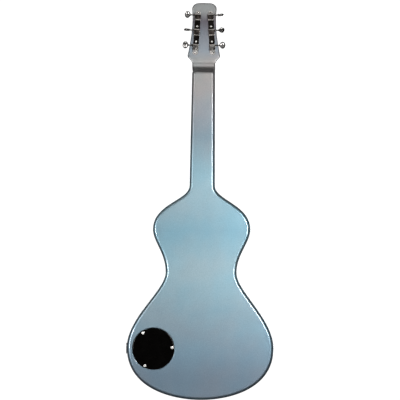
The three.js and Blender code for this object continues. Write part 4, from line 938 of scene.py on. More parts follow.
def housing(height, side):
    """The bridge of sheet over one wheel, with a hole on each side for the key."""
    low, high = housing_span(height)
    outer = housing_view(low, high, HOUSING_BACK, STRIP_FRONT, BEND)
    bridge = side_slab(outer, -STRIP_HALF, STRIP_HALF)
    rounded(bridge, 0.5, 3, behind(STRIP_FRONT - 0.1), 60)
    inner = housing_view(
        low + SHEET, high - SHEET, HOUSING_BACK + SHEET, STRIP_FRONT + 2, BEND - SHEET,
    )
    hollow = side_slab(inner, -STRIP_HALF + SHEET, STRIP_HALF - SHEET)
    middle, past = (0, WORM_Y, height), STRIP_HALF + 2.5
    shaft_hole = rod(SHAFT_HOLE, middle, (side * past, WORM_Y, height), 24)
    worm_hole = rod(WORM_HOLE, middle, (-side * past, WORM_Y, height), 24)
    return carved(bridge, hollow, shaft_hole, worm_hole)


# %% Strip and its raised rims
END_CENTRE = STRIP_LENGTH / 2 - STRIP_HALF
RIM_INSET, RIM_BEAD = 0.75, 0.7


def strip_plate():
    """The flat of the strip with round ends, its edges eased, cut for housings and screws."""
    outline = (
        arc(STRIP_HALF, (0, END_CENTRE), 0, 180, 28)
        + arc(STRIP_HALF, (0, -END_CENTRE), 180, 360, 28)
    )
    plate = rounded(front_slab(outline, STRIP_BACK, STRIP_FRONT), 0.35, 3, angle=60)
    reach, y0, y1 = STRIP_HALF - SHEET, STRIP_FRONT - 2, STRIP_FRONT + 1
    windows = []
    for low, high in map(housing_span, SHAFT_HEIGHTS):
        windows.append(block(-reach, reach, y0, y1, low + SHEET, high - SHEET))
    holes = [drill(PAN_HOLE, 0, height, y0 - 1, y1 + 1, 20) for height in STRIP_SCREWS]
    return carved(plate, *windows, *holes)


def rolled_rim(end):
    """A raised bead that follows the round end of the strip."""
    middle = end * END_CENTRE
    bead = arc(RIM_BEAD, (STRIP_HALF - RIM_INSET, STRIP_BACK), -180, 0)
    ring = turned([*bead, bead[0]], 56, FORWARD, (0, 0, middle))
    bmesh.ops.bisect_plane(
        ring, geom=ring.verts[:] + ring.edges[:] + ring.faces[:], plane_co=(0, 0, middle),
        plane_no=-UPWARD * end, clear_outer=True,
    )
    bmesh.ops.holes_fill(ring, edges=ring.edges, sides=0)
    return ring


# %% Make both strips
BEND_TILT = 0.2
# Below this height the housings' flats take the lighter copy of the chrome, a painted reflection.
PAINTED_LIGHT_BELOW = STRIP_CENTRE - 20
END_FLAT = 42.0
for name, side in {"treble": -1, "bass": 1}.items():
    flat = placed(strip_plate(), strip_frame(side))
    # The flats of the strip take the darkened chrome, a painted dark reflection, and its ends take
    # the lighter copy, a painted reflection.
    plate = finish(f"{name}_strip_plate", flat, painted_dark_strip_chrome, replaces=[f"{name}_tuner_strip"])
    plate.data.materials.append(satin_painted_light_end)
    for face in plate.data.polygons:
        face.material_index = abs(face.center.z / MM - STRIP_CENTRE) > END_FLAT
    rims = placed(joined(rolled_rim(-1), rolled_rim(1)), strip_frame(side))
    # The raised rims take the lighter copy of the chrome, a painted highlight.
    finish(f"{name}_strip_rims", rims, painted_highlight_bend)
    housings = placed(joined(*[housing(z, side) for z in SHAFT_HEIGHTS]), strip_frame(side))
    pressed = finish(f"{name}_gear_housings", housings, housing_chrome)
    # Bends take the lighter copy of the chrome, a painted highlight.
    pressed.data.materials.append(painted_highlight_bend)
    # The lowest housing's flats take a lighter copy of the chrome, a painted reflection.
    pressed.data.materials.append(lower_painted_light_chrome)
    for face in pressed.data.polygons:
        bent = abs(face.normal.z) > BEND_TILT and face.normal.y < -BEND_TILT
        face.material_index = 1 if bent else 2 * (face.center.z < PAINTED_LIGHT_BELOW * MM)
    for number, height in enumerate(STRIP_SCREWS, 1):
        screw = domed_screw(on_strip(side, 0, STRIP_BACK, height), -FORWARD)
        polish = nickel if number in (1, len(STRIP_SCREWS)) else satin_nickel
        replaced = [f"{name}_strip_screw_{number}"]
        finish(f"{name}_strip_pan_screw_{number}", screw, polish, replaces=replaced)

# %% [markdown]
# ## Tuner keys
# A key is a turned shaft with an oval button pressed on its end. The shaft has a worm
# inside the housing, a thrust collar, a thin neck and a ferrule. The worm's thread is a
# small trapezoid spun about the shaft while it moves along it, which is what spin's dvec
# does. The button is a sphere pressed flat, with a soft waist in its two faces.

# %% Worm
TEETH, GEAR_MODULE = 14, 0.6
WORM_LEAD = math.pi * GEAR_MODULE
WORM_LENGTH, WORM_ROOT = 5.2, 0.9
THREAD_FOOT, THREAD_CREST = 0.595, 0.176
THREAD_STEPS = 24


def worm_thread():
    """A trapezoid spun about the x axis along a helix, right-handed."""
    bm = bmesh.new()
    turns = WORM_LENGTH / WORM_LEAD
    steps = round(turns * THREAD_STEPS)
    section = [
        (-THREAD_FOOT, WORM_ROOT), (-THREAD_CREST, WORM_TIP), (THREAD_CREST, WORM_TIP),
        (THREAD_FOOT, WORM_ROOT),
    ]
    points = [bm.verts.new((x - WORM_LENGTH / 2, 0, -out)) for x, out in section]
    start = bm.faces.new(points)
    bmesh.ops.spin(
        bm, geom=[start, *start.edges, *start.verts], cent=(0, 0, 0), axis=ACROSS,
        dvec=(WORM_LENGTH / steps, 0, 0), angle=turns * FULL_TURN, steps=steps, use_merge=False,
    )
    return placed(bm, Matrix.Rotation(-turns * FULL_TURN / 2, 4, "X"))


# %% Button
BUTTON_START, BUTTON_LENGTH, BUTTON_HALF, BUTTON_THICKNESS = 17.7, 13.0, 8.2, 7.4
DISH_DEPTH, DISH_WIDTH = 0.16, 0.55


def oval_button(side, degrees):
    """A ball with dished faces, pressed flat, turned about the shaft and moved to its end."""
    bm = bmesh.new()
    bmesh.ops.create_uvsphere(bm, u_segments=40, v_segments=24, radius=1)
    for vert in bm.verts:
        out = math.hypot(vert.co.x, vert.co.z)
        vert.co.y *= 1 - DISH_DEPTH * math.exp(-((out / DISH_WIDTH) ** 2))
    bmesh.ops.scale(bm, vec=(BUTTON_LENGTH / 2, BUTTON_THICKNESS / 2, BUTTON_HALF), verts=bm.verts)
    placed(bm, Matrix.Rotation(math.radians(degrees), 4, "X"))
    return shifted(bm, x=side * (BUTTON_START + BUTTON_LENGTH / 2))


# %% Shaft
CORE_RADIUS, SHAFT_RADIUS, COLLAR_RADIUS, NECK_RADIUS, FERRULE_RADIUS = 1.25, 1.6, 2.5, 1.5, 2.9


def key_shaft(side):
    """From the inside out: the worm's core, a journal, a thrust collar, a neck and a ferrule."""
    profile = [
        [0, -6.5], [WORM_ROOT, -6.5], [CORE_RADIUS, -6.2], [CORE_RADIUS, 5.5],
        [SHAFT_RADIUS, 5.5], [SHAFT_RADIUS, 6.8], [COLLAR_RADIUS - 0.2, 6.8],
        [COLLAR_RADIUS, 7.0], [COLLAR_RADIUS, 8.2], [COLLAR_RADIUS - 0.2, 8.4],
        [SHAFT_RADIUS, 8.4], [NECK_RADIUS, 9.2], [NECK_RADIUS, 15.6], [1.8, 16.4], [2.5, 17.1],
        [FERRULE_RADIUS, 18.2], [FERRULE_RADIUS, 19.6], [0, 20.4],
    ]
    return turned(profile, 28, ACROSS * side)


# %% Make six keys
KEY_TURNS = [0, 90, 20, 90, 50, 15]


def string_side(string):
    """The first three strings go to the treble side, the others to the bass side."""
    return -1 if string < 3 else 1


def string_row(string):
    """Counts the rows of tuners up one side and down the other."""
    return string if string < 3 else 5 - string


for string in range(6):
    side, number = string_side(string), string + 1
    seat = strip_frame(side) @ Matrix.Translation((0, WORM_Y, SHAFT_HEIGHTS[string_row(string)]))
    key = placed(joined(key_shaft(side), worm_thread()), seat)
    # The shaft takes the darkened chrome, a painted dark reflection.
    finish(f"chrome_key_{number}", key, painted_dark_shaft_chrome, f"key_{number}", [f"tuner_key_{number}"])
    button = placed(oval_button(side, KEY_TURNS[string]), seat)
    finish(f"oval_button_{number}", button, button_chrome, f"key_{number}")

# %% [markdown]
# ## Posts, wheels and bushings
# Each post stands on a pivot in its housing, carries the fourteen-tooth wheel that the
# worm turns, and comes out of the front of the head through a flanged bushing. The post
# is turned with a waist for the string. The wheel starts as a circle with four points to
# a tooth, two of them moved out, and is extruded to its width with a slight twist.

# %% Wheel
WHEEL_WIDTH, WHEEL_ROOT = 3.2, 3.55
WHEEL_PITCH = TEETH * GEAR_MODULE / 2
WORM_PITCH = GEAR_CENTRES - WHEEL_PITCH
TOOTH_FOOT, TOOTH_CREST = 0.168, 0.038


def lean(vert, middle):
    """The angle about y between a point and the middle of a tooth."""
    return (math.atan2(vert.co.x, vert.co.z) - middle + math.pi) % FULL_TURN - math.pi


def toothed_circle():
    """A filled circle with four points to a tooth, pulled out into teeth."""
    bm = bmesh.new()
    bmesh.ops.create_circle(bm, cap_ends=True, radius=1, segments=4 * TEETH)
    placed(bm, Matrix.Rotation(-math.pi / 2, 4, "X"))
    tooth_points = [
        (-TOOTH_FOOT, WHEEL_ROOT), (-TOOTH_CREST, WHEEL_TIP), (TOOTH_CREST, WHEEL_TIP),
        (TOOTH_FOOT, WHEEL_ROOT),
    ]
    for tooth in range(TEETH):
        middle = (tooth + 0.5) / TEETH * FULL_TURN
        nearest = sorted(bm.verts, key=lambda vert: abs(lean(vert, middle)))[:4]
        nearest.sort(key=lambda vert: lean(vert, middle))
        for vert, (angle, reach) in zip(nearest, tooth_points):
            vert.co = (reach * math.sin(middle + angle), 0, reach * math.cos(middle + angle))
    return bm


def wheel():
    """The toothed circle given its width, twisted to match the lead of the worm."""
    bm = toothed_circle()
    twist = WHEEL_WIDTH / 2 * WORM_LEAD / (FULL_TURN * WORM_PITCH * WHEEL_PITCH)
    placed(bm, Matrix.Rotation(-twist, 4, "Y"))
    grown = bmesh.ops.extrude_face_region(bm, geom=bm.faces[:])
    top = [item for item in grown["geom"] if isinstance(item, bmesh.types.BMVert)]
    bmesh.ops.rotate(bm, cent=(0, 0, 0), matrix=Matrix.Rotation(2 * twist, 3, "Y"), verts=top)
    bmesh.ops.translate(bm, vec=(0, WHEEL_WIDTH, 0), verts=top)
    bmesh.ops.recalc_face_normals(bm, faces=bm.faces)
    return shifted(bm, y=WORM_Y - WHEEL_WIDTH / 2)


# %% Post and bushing
POST_TOP, BUSHING_TOP = HEAD_FRONT + 13.5, HEAD_FRONT + 1.6
POST_RADIUS, POST_WAIST, PIVOT_RADIUS, EYE_RADIUS = 3.1, 2.4, 1.5, 0.9
BUSHING_BORE, BUSHING_RADIUS, FLANGE_RADIUS = 3.4, 4.7, 6.4


def post():
    """A pivot, the post's foot, a waist for the string and a cap, with an eye through it."""
    waist, cap = BUSHING_TOP + 1.0, POST_TOP - 2.4
    profile = [
        [0, 18.1], [PIVOT_RADIUS, 18.1], [PIVOT_RADIUS, 19.2], [POST_RADIUS, 21.8],
        [POST_RADIUS, BUSHING_TOP + 0.3], [2.6, waist - 0.1], [POST_WAIST, waist + 0.5],
        [POST_WAIST, POST_TOP - 3.0], [2.6, POST_TOP - 2.7], [POST_RADIUS, cap],
        [POST_RADIUS, POST_TOP - 0.8], [2.8, POST_TOP - 0.3], [2.3, POST_TOP], [0, POST_TOP],
    ]
    eye = (BUSHING_TOP + cap) / 2
    past = 2 * POST_RADIUS
    return carved(turned(profile, 32), rod(EYE_RADIUS, (-past, eye, 0), (past, eye, 0), 16))


def bushing():
    """A sleeve whose flange lies on the head's face."""
    foot, face, top = HEAD_FRONT - 11, HEAD_FRONT + 0.3, BUSHING_TOP
    profile = [
        [BUSHING_BORE, foot], [BUSHING_RADIUS, foot], [BUSHING_RADIUS, face],
        [FLANGE_RADIUS - 0.3, face], [FLANGE_RADIUS, face + 0.3],
        [FLANGE_RADIUS - 0.05, face + 0.7], [FLANGE_RADIUS - 0.5, top - 0.15],
        [FLANGE_RADIUS - 1.5, top], [BUSHING_BORE, top], [BUSHING_BORE, foot],
    ]
    return turned(profile, 40)


for string in range(6):
    side, number = string_side(string), string + 1
    seat = strip_frame(side) @ Matrix.Translation((0, 0, POST_HEIGHTS[string_row(string)]))
    turning = placed(joined(post(), wheel()), seat)
    finish(f"chrome_post_{number}", turning, chrome, f"post_{number}", [f"tuner_post_{number}"])
    sleeve = placed(bushing(), seat)
    finish(f"chrome_bushing_{number}", sleeve, chrome, replaces=[f"post_bushing_{number}"])

# %% [markdown]
# ## Fretboard and nut
# A lap steel's board has no raised frets: the bar never presses the strings down, so thin
# flush lines mark the places. The board is a tapered rosewood slab; the lines and the
# marker dots are let into it as pieces of their own. The nut is a tall bone block with a
# slot for each string.

# %% Board
BOARD_LOW, BOARD_HIGH = 151, NUT - 0.3
BOARD_BACK, BOARD_FACE = DEPTH + 0.3, DEPTH + 6.3


def board_half(z):
    """Half the board's width at a height: the neck's taper less its rounded front rim."""
    return neck_half(z) - FRONT_RIM


low_half, high_half = board_half(BOARD_LOW), board_half(BOARD_HIGH)
board_outline = [
    (-low_half, BOARD_LOW), (low_half, BOARD_LOW), (high_half, BOARD_HIGH), (-high_half, BOARD_HIGH),
]
board = front_slab(board_outline, BOARD_BACK, BOARD_FACE)
rounded(board, 0.8, 4, in_front_of(BOARD_FACE - 0.1))
finish("rosewood_board", board, rosewood, replaces=["fretboard"])

# %% Fret lines
FRETS = 24
LINE_HALF, LINE_DEPTH, LINE_INSET, INLAY_PROUD = 0.35, 0.5, 0.1, 0.05


def fret_height(fret):
    """Each fret stands at the same ratio of the string's length from the one before."""
    return NUT * 2 ** (-fret / 12)


lines = []
for fret in range(1, FRETS + 1):
    z = fret_height(fret)
    half = board_half(z) - LINE_INSET
    y0, y1 = BOARD_FACE - LINE_DEPTH, BOARD_FACE + INLAY_PROUD
    lines.append(block(-half, half, y0, y1, z - LINE_HALF, z + LINE_HALF))
finish("fret_lines", joined(*lines), nickel)

# %% Marker dots
MARKED = {3: 1, 5: 1, 7: 1, 9: 1, 12: 2, 15: 1, 17: 1, 19: 1, 21: 1, 24: 2}
DOT_RADIUS, DOT_DEPTH, DOT_CROWN, PAIR_OFFSET = 3, 0.6, 0.08, 11

dot_profile = [
    [0, BOARD_FACE - DOT_DEPTH], [DOT_RADIUS, BOARD_FACE - DOT_DEPTH],
    [DOT_RADIUS, BOARD_FACE + INLAY_PROUD], [0, BOARD_FACE + DOT_CROWN],
]
dots = []
for fret, count in MARKED.items():
    z = (fret_height(fret) + fret_height(fret - 1)) / 2
    for x in ([0] if count == 1 else [-PAIR_OFFSET, PAIR_OFFSET]):
        dots.append(turned(dot_profile, 40, FORWARD, (x, 0, z)))
finish("marker_dots", joined(*dots), pearl)

# %% Nut
GAUGES = [0.41, 0.46, 0.61, 0.81, 1.07, 1.42]
MIDDLE_STRING, NUT_PITCH, BRIDGE_PITCH = 2.5, 8.6, 10
STRING_Y, NUT_END = DEPTH + 14, NUT + 5


def nut_x(string):
    """Place of a string across the nut."""
    return NUT_PITCH * (string - MIDDLE_STRING)


def bridge_x(string):
    """Place of a string across the bridge."""
    return BRIDGE_PITCH * (string - MIDDLE_STRING)


half = board_half(NUT)
nut_blank = block(-half, half, BOARD_BACK, STRING_Y + 1, NUT, NUT_END)
rounded(nut_blank, 0.9, 4, in_front_of(STRING_Y))
slots = []
for string, gauge in enumerate(GAUGES):
    x, width = nut_x(string), gauge / 2 + 0.3
    slots.append(block(x - width, x + width, STRING_Y - 0.3, STRING_Y + 3, NUT - 2, NUT_END + 2))
finish("bone_nut", carved(nut_blank, *slots), bone, replaces=["nut"])

# %% [markdown]
# ## Bridge
# The bridge is a chrome plate bent up at its rear. The ball ends of the strings bear on
# that flange, and the strings cross a saddle bar with a round crown, which gives them
# their height. Both are side views extruded across the guitar, with their edges eased.

# %% Bridge plate
PLATE_BACK, PLATE_FACE = DEPTH + 0.3, DEPTH + 2.5
PLATE_HALF, PLATE_HIGH = 48, 14
FLANGE_INSIDE, FLANGE_OUTSIDE, FLANGE_TOP = -27, -30, PLATE_BACK + 12.5
INNER_BEND, OUTER_BEND = 1.6, 2.4
STRING_HOLE_Y, STRING_HOLE = PLATE_BACK + 8.2, 1.2

inner_centre = (FLANGE_INSIDE + INNER_BEND, PLATE_FACE + INNER_BEND)
outer_centre = (FLANGE_OUTSIDE + OUTER_BEND, PLATE_BACK + OUTER_BEND)
plate_view = [
    (PLATE_HIGH, PLATE_BACK), (PLATE_HIGH, PLATE_FACE), *arc(INNER_BEND, inner_centre, 270, 180),
    (FLANGE_INSIDE, FLANGE_TOP), (FLANGE_OUTSIDE, FLANGE_TOP),
    *arc(OUTER_BEND, outer_centre, 180, 270, 8),
]
plate = rounded(side_slab(plate_view, -PLATE_HALF, PLATE_HALF), 0.5, 3, angle=50)
sinks = [countersink((x, PLATE_FACE, z), FORWARD, 3, 16) for x, z in BRIDGE_SCREWS]
z0, z1 = FLANGE_OUTSIDE - 4, FLANGE_INSIDE + 3
eyes = [
    rod(STRING_HOLE, (x, STRING_HOLE_Y, z0), (x, STRING_HOLE_Y, z1), 20)
    for x in map(bridge_x, range(6))
]
finish("chrome_bridge_plate", carved(plate, *sinks, *eyes), chrome, replaces=["bridge_plate"])
for number, (x, z) in enumerate(BRIDGE_SCREWS, 1):
    screw = flush_screw((x, PLATE_FACE, z), FORWARD)
    finish(f"bridge_plate_screw_{number}", screw, nickel, replaces=[f"bridge_screw_{number}"])

# %% Saddle bar
SADDLE_FOOT, SADDLE_RADIUS, SADDLE_HALF = DEPTH + 2.8, 3.5, 33
crown = STRING_Y - 0.3 - SADDLE_RADIUS
saddle_view = [
    (-SADDLE_RADIUS, SADDLE_FOOT), (SADDLE_RADIUS, SADDLE_FOOT),
    *arc(SADDLE_RADIUS, (0, crown), 0, 180, 20),
]
saddle = rounded(side_slab(saddle_view, -SADDLE_HALF, SADDLE_HALF), 0.4, 3, angle=50)
finish("chrome_saddle_bar", saddle, chrome, replaces=["saddle_bar"])

# %% [markdown]
# ## Pickups
# Each pickup is a black satin cover with round corners, and six steel poles that reach up
# under the strings. The cover's outline is extruded and its top edge bevelled.

# %% Pickups
PICKUP_FOOT, PICKUP_TOP = DEPTH - 19.7, DEPTH + 8
POLE_RADIUS, POLE_PROUD, POLE_EDGE = 2.4, 1.2, 0.3


def string_x(string, z):
    """Place of a string across the guitar at a height between the bridge and the nut."""
    return bridge_x(string) + (nut_x(string) - bridge_x(string)) * z / NUT


pole_profile = [
    [0, PICKUP_TOP - POLE_PROUD], [POLE_RADIUS, PICKUP_TOP - POLE_PROUD],
    [POLE_RADIUS, PICKUP_TOP + POLE_PROUD - POLE_EDGE],
    [POLE_RADIUS - POLE_EDGE, PICKUP_TOP + POLE_PROUD], [0, PICKUP_TOP + POLE_PROUD],
]
cover_outline = rounded_rectangle(PICKUP_HALF, PICKUP_REACH, PICKUP_CORNER)
for name, middle in PICKUPS.items():
    cover = front_slab(cover_outline, PICKUP_FOOT, PICKUP_TOP)
    rounded(cover, 1.5, 5, in_front_of(PICKUP_TOP - 0.1))
    finish(f"{name}_cover", shifted(cover, z=middle), pickup_black, replaces=[name])
    places = [(string_x(string, middle), 0, middle) for string in range(6)]
    poles = [turned(pole_profile, 28, FORWARD, place) for place in places]
    finish(f"{name}_poles", joined(*poles), nickel)

# %% [markdown]
# ## Knobs, selector and jack
# The knobs have a plain skirt and a fluted grip. A knob is turned first; then the points
# of its grip are drawn in between the flutes. The selector is a bat lever on a ball, and
# the jack sits in a chrome cup in the side of the body.

# %% Knobs
KNOB_FOOT = DEPTH + 0.6
GRIP_FOOT, KNOB_TOP = KNOB_FOOT + 3, KNOB_FOOT + 16
SKIRT_RADIUS, GRIP_RADIUS, FLUTED_FROM = 10.5, 8.4, 7.2
FLUTES, FLUTE_DEPTH = 14, 0.75
SHAFT_BORE, NUT_HOLLOW, HOLLOW_TOP, BORE_TOP = 3.3, 6.9, DEPTH + 3.4, DEPTH + 14.3


def knob(x, z):
    """Turned from its hollow foot to its top, then drawn in between the flutes."""
    bm = turned([
        [0, BORE_TOP], [SHAFT_BORE, BORE_TOP], [SHAFT_BORE, HOLLOW_TOP], [NUT_HOLLOW, HOLLOW_TOP],
        [NUT_HOLLOW, KNOB_FOOT], [SKIRT_RADIUS - 0.2, KNOB_FOOT], [SKIRT_RADIUS, KNOB_FOOT + 0.3],
        [SKIRT_RADIUS, GRIP_FOOT - 0.4], [SKIRT_RADIUS - 0.4, GRIP_FOOT],
        [GRIP_RADIUS + 0.1, GRIP_FOOT + 0.3], [GRIP_RADIUS, GRIP_FOOT + 0.8],
        [GRIP_RADIUS, KNOB_TOP - 2.4], [GRIP_RADIUS - 0.2, KNOB_TOP - 1.2],
        [GRIP_RADIUS - 1, KNOB_TOP - 0.3], [GRIP_RADIUS - 2, KNOB_TOP], [5.6, KNOB_TOP - 0.25],
        [0, KNOB_TOP - 0.35],
    ], 6 * FLUTES)
    for vert in bm.verts:
        radius = math.hypot(vert.co.x, vert.co.z)
        if vert.co.y > GRIP_FOOT + 0.5 and radius > FLUTED_FROM:
            wave = 0.5 - 0.5 * math.cos(math.atan2(vert.co.x, vert.co.z) * FLUTES)
            pressed = 1 - FLUTE_DEPTH * wave ** 2 / radius
            vert.co.x, vert.co.z = vert.co.x * pressed, vert.co.z * pressed
    return shifted(bm, x=x, z=z)


# %% Make both knobs with their pointers
POINTER_HALF, POINTER_START, POINTER_END = 0.45, 1.5, 6.2
for name, (x, z) in CONTROLS.items():
    finish(f"{name}_grip", knob(x, z), knob_black, f"{name}_control", [f"{name}_knob"])
    line = block(
        x - POINTER_HALF, x + POINTER_HALF, KNOB_TOP - 0.6, KNOB_TOP - 0.05,
        z + POINTER_START, z + POINTER_END,
    )
    finish(f"{name}_pointer", rounded(line, 0.12, 2), pearl, f"{name}_control")

# %% Selector lever
BALL, TIP, TIP_CENTRE = 2.7, 2.4, 14.6
bat_profile = [
    [0, -BALL], *arc(BALL, (0, 0), -80, 62, 14), [1.15, 2.9], [1.1, 6], [1.5, 9], [2.1, 12.5],
    *arc(TIP, (0, TIP_CENTRE), -10, 90, 10),
]
lever = turned(bat_profile, 28, FORWARD, (SELECTOR[0], DEPTH, SELECTOR[1]))
finish("selector_bat", lever, chrome, "selector", ["selector_lever"])

# %% Jack cup and jack
jack_place = (JACK_X, JACK_Y, CONTROL_Z)
cup_profile = [
    [5.2, -13], [12, -13], [12, 0.3], [13.6, 0.3], [14, 0.6], [13.7, 1.15], [12.6, 1.5], [11.4, 1.4],
    [11, 0.9], [11, -10.6], [10, -11.9], [8.6, -12], [5.2, -12], [5.2, -13],
]
finish("chrome_jack_cup", turned(cup_profile, 64, -ACROSS, jack_place), chrome, replaces=["jack_cup"])
barrel_profile = [
    [3.5, -28.3], [4.9, -28.3], [4.9, -22.3], [7, -22.3], [7, -13.3], [4.9, -13.3], [4.9, -9.2],
    [4.5, -8.9], [3.9, -8.9], [3.5, -9.3], [3.5, -28.3],
]
nut_profile = [[4.8, -11.7], [6.8, -11.7], [6.8, -9.5], [4.8, -9.5], [4.8, -11.7]]
hexagon = turned(nut_profile, 6, -ACROSS, jack_place)
jack = joined(turned(barrel_profile, 40, -ACROSS, jack_place), rounded(hexagon, 0.25, 2, angle=50))
finish("jack_barrel", jack, nickel, replaces=["output_jack"])

# %% [markdown]
# ## Strings
# Each string runs from its ball end through the bridge flange, over the saddle and the
# nut, to its post and round it. A Blender curve follows those points with a round bevel
# of the string's gauge, and is then made a mesh. The three thicker ones are wound.

# %% Path of a string
BALL_Z = -32.2
COIL_STEPS, COIL_GAP, COIL_DROP = 36, 0.5, 3.4
PLAIN_TURNS, WOUND_TURNS = 2.5, 2


def string_path(string):
    """Centre line in millimetres: ball, flange, saddle, nut, and turns on the post."""
    radius = GAUGES[string] / 2
    side = string_side(string)
    post_x, _, post_z = on_strip(side, 0, 0, POST_HEIGHTS[string_row(string)])
    coil, top = POST_WAIST + 0.3 + radius, POST_TOP - COIL_DROP - radius
    reach = math.hypot(nut_x(string) - post_x, NUT_END - post_z)
    towards_nut = math.atan2(NUT_END - post_z, nut_x(string) - post_x)
    start = towards_nut - side * math.acos(coil / reach)
    turns = PLAIN_TURNS if string < 3 else WOUND_TURNS
    path = [
        Vector((bridge_x(string), STRING_HOLE_Y, BALL_Z)),
        Vector((bridge_x(string), STRING_HOLE_Y, FLANGE_INSIDE)),
        Vector((bridge_x(string), STRING_Y + radius, 0)),
        Vector((nut_x(string), STRING_Y + radius, NUT)),
        Vector((nut_x(string), STRING_Y + radius, NUT_END)),
    ]
    for step in range(int(turns * COIL_STEPS) + 1):
        turn = step / COIL_STEPS
        angle = start - side * FULL_TURN * turn
        y = top - turn * (GAUGES[string] + COIL_GAP)
        path.append(Vector((post_x + coil * math.cos(angle), y, post_z + coil * math.sin(angle))))
    return path


# %% Make six strings
BALL_RADIUS, BALL_WAIST, BALL_HALF, BALL_EDGE = 1.9, 1.4, 1.7, 0.3
ball_profile = [
    [0, -BALL_HALF], [BALL_RADIUS - BALL_EDGE, -BALL_HALF], [BALL_RADIUS, -BALL_HALF + BALL_EDGE],
    [BALL_WAIST, 0], [BALL_RADIUS, BALL_HALF - BALL_EDGE], [BALL_RADIUS - BALL_EDGE, BALL_HALF],
    [0, BALL_HALF],
]


def string_mesh(string):
    """The bevelled curve as a bmesh, with its ball."""
    curve = bpy.data.curves.new("string_line", "CURVE")
    curve.dimensions = "3D"
    curve.bevel_depth = GAUGES[string] / 2
    curve.bevel_resolution = 3
    curve.use_fill_caps = True
    path = string_path(string)
    line = curve.splines.new("POLY")
    line.points.add(len(path) - 1)
    for point, place in zip(line.points, path):
        point.co = (*place, 1)
    thing = in_scene("string_line", curve)
    bm = bmesh.new()
    bm.from_mesh(thing.to_mesh())
    thing.to_mesh_clear()
    bpy.data.objects.remove(thing)
    bpy.data.curves.remove(curve)
    return joined(bm, turned(ball_profile, 24, ACROSS, path[0]))


for string in range(6):
    wire, number = plain_string if string < 3 else wound_steel, string + 1
    finish(f"string_{number}_wire", string_mesh(string), wire, replaces=[f"string_{number}"])

# %% [markdown]
# ## What the CAD model keeps
# The pots, their shafts and the selector's housing sit inside the wood or under a knob and
# have the right shape already. They stay, and only get their finishes.

# %% Finish the carried-over nodes
KEPT = {
    "volume_pot": plated_steel, "tone_pot": plated_steel, "volume_shaft": brass,
    "tone_shaft": brass, "selector_switch": plated_steel,
}
for node_name, material in KEPT.items():
    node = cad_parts[node_name]
    node.data.materials.clear()
    node.data.materials.append(material)
print("pieces made:", len(made), "nodes kept:", len(KEPT))

# %% [markdown]
# ## Studio
# The guitar hangs in a white studio. A pale floor lies a metre below it and a white
# dome closes the background; the dome is lit for the camera only, so that the edges of
# the guitar stay dark against it. What the lacquer and the chrome mirror is the world: a
# dark room with a faint ring of light about the viewing direction, and the softboxes.
# Two small keys stand right and left of the camera and draw the light lines inside the
# rims. Fills at the left, from above and from low down lift the back and the rims, and
# two large boxes light the front.

# %% Surfaces of the studio
FADE_START, FADE_END = 0.8, 3.5


def glowing(tree, strength):
    """A white emission of its own brightness."""
    return add(tree, "Emission", Color=(1, 1, 1, 1), Strength=strength).outputs[0]


def studio_material(name):
    """An empty material, with its tree and the socket of its surface."""
    material = bpy.data.materials.new(name)
    material.use_nodes = True
    tree = material.node_tree
    tree.nodes.clear()
    return material, tree, add(tree, "OutputMaterial").inputs["Surface"]


def dome_white():
    material, tree, surface = studio_material("dome_white")
    tree.links.new(glowing(tree, 1.1), surface)
    return material


def floor_pale():
    """Matt under the guitar, fading outwards into a glow as bright as the dome's foot."""
    material, tree, surface = studio_material("floor_pale")
    light = glowing(tree, 1.0)
    matt = add(tree, "BsdfDiffuse", Color=(0.86, 0.86, 0.85, 1)).outputs[0]
    distance = add(tree, "VectorMath", {"operation": "LENGTH"})
    tree.links.new(add(tree, "TexCoord").outputs["Object"], distance.inputs[0])
    outward = spread(tree, distance.outputs["Value"], 0.0, 1.0, FADE_START, FADE_END)
    mixer = add(tree, "MixShader", Fac=outward)
    tree.links.new(matt, mixer.inputs[1])
    tree.links.new(light, mixer.inputs[2])
    tree.links.new(mixer.outputs[0], surface)
    return material


# %% Floor and dome
DOME_RADIUS, FLOOR_RADIUS, FLOOR_HEIGHT = 8.0, 6.2, -1.0


def stage_piece(name, bm, material):
    """A piece of the studio, which isn't part of the guitar."""
    for face in bm.faces:
        face.smooth = True
    mesh = bpy.data.meshes.new(name)
    bm.to_mesh(mesh)
    bm.free()
    mesh.materials.append(material)
    thing = in_scene(name, mesh)
    return thing


dome_mesh = bmesh.new()
bmesh.ops.create_icosphere(dome_mesh, subdivisions=4, radius=DOME_RADIUS)
dome = stage_piece("dome", dome_mesh, dome_white())
for ray in ("visible_diffuse", "visible_glossy", "visible_transmission", "visible_shadow"):
    setattr(dome, ray, False)
floor_mesh = bmesh.new()
bmesh.ops.create_circle(floor_mesh, cap_ends=True, radius=FLOOR_RADIUS, segments=96)
floor = stage_piece("floor", floor_mesh, floor_pale())
floor.location.z = FLOOR_HEIGHT
floor.visible_glossy = False
print("studio:", dome.name, "and", floor.name)

# %% World
world = bpy.data.worlds.new("studio")
bpy.context.scene.world = world
world.use_nodes = True
sky = world.node_tree
axes = add(sky, "SeparateXYZ", Vector=add(sky, "TexCoord").outputs["Generated"])
around = ramp(sky, spread(sky, axes.outputs["Y"], 0.0, 1.0, -1.0, 1.0), [
    (0.0, grey(0.015)), (0.05, grey(0.03)), (0.11, grey(0.13)), (0.20, grey(0.13)),
    (0.32, grey(0.04)), (0.50, grey(0.02)), (0.84, grey(0.03)), (0.91, (0.28, 0.28, 0.29)),
    (1.0, (0.42, 0.42, 0.43)),
])
overhead = spread(sky, axes.outputs["Z"], 0.15, 1.0, -0.75, 0.0)
background = sky.nodes["Background"]
sky.links.new(multiplied(sky, around, overhead), background.inputs["Color"])
background.inputs["Strength"].default_value = 1.0


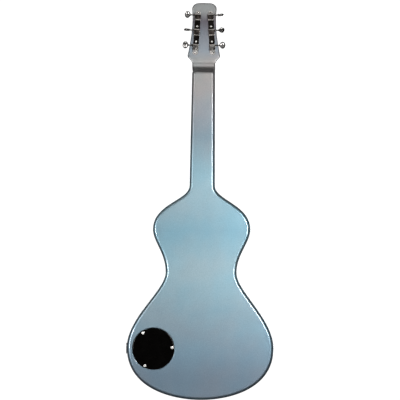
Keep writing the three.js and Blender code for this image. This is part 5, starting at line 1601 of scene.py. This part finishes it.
# %% Softboxes
def softbox(name, place, aim, width, height, watts):
    """A rectangular lamp that looks at a point and that the camera doesn't see."""
    lamp = bpy.data.lights.new(name, "AREA")
    lamp.shape = "RECTANGLE"
    lamp.size, lamp.size_y = width, height
    lamp.energy = watts
    thing = in_scene(name, lamp)
    thing.visible_camera = False
    thing.location = place
    thing.rotation_euler = (Vector(aim) - Vector(place)).to_track_quat("-Z", "Y").to_euler()


softbox("right_key", (0.78, -2.65, 0.36), (0.05, 0, 0.32), 0.42, 0.70, 25)
softbox("left_key", (-1.32, -2.41, 0.08), (-0.05, 0, 0.20), 0.35, 0.6, 16)
softbox("left_fill", (-1.46, -2.33, 0.32), (0, 0, 0.32), 0.6, 1.5, 6.5)
softbox("top_fill", (0.0, -1.95, 2.3), (0, 0, 0.32), 1.6, 1.4, 5.5)
softbox("top_high", (0.0, -1.5, 2.7), (0, 0, 0.60), 1.6, 0.8, 1.6)
softbox("low_strip", (0.0, -1.45, -0.72), (0, 0, -0.06), 1.5, 0.30, 1.2)
softbox("front_high", (-0.8, 2.8, 1.2), (0, 0, 0.25), 2.4, 2.2, 38)
softbox("front_side", (1.2, 2.6, 0.35), (0, 0, 0.25), 1.6, 1.5, 21)
print("softboxes:", len(bpy.data.lights))

# %% [markdown]
# ## Camera
# The photograph was taken from far off, square on to the back, so a 200 mm lens stands
# five metres away. Its frame is 0.92 m across at the guitar, and the guitar leans a
# little to the right in it.

# %% Camera
LENS, SENSOR, FIELD = 200.0, 36.0, 0.9188
CENTRE_X, CENTRE_Y, CENTRE_Z = -0.0047, 0.006, 0.3225
LEAN = math.radians(0.71)
camera_data = bpy.data.cameras.new("camera")
camera_data.lens, camera_data.sensor_width = LENS, SENSOR
camera = in_scene("camera", camera_data)
camera.location = (CENTRE_X, CENTRE_Y - FIELD * LENS / SENSOR, CENTRE_Z)
level = Matrix.Rotation(math.pi / 2, 3, "X")
camera.rotation_euler = (level @ Matrix.Rotation(LEAN, 3, "Z")).to_euler()
bpy.context.scene.camera = camera
bpy.context.scene.view_settings.view_transform = "Standard"
print("camera:", LENS, "mm lens,", round(FIELD, 2), "m across at the guitar")
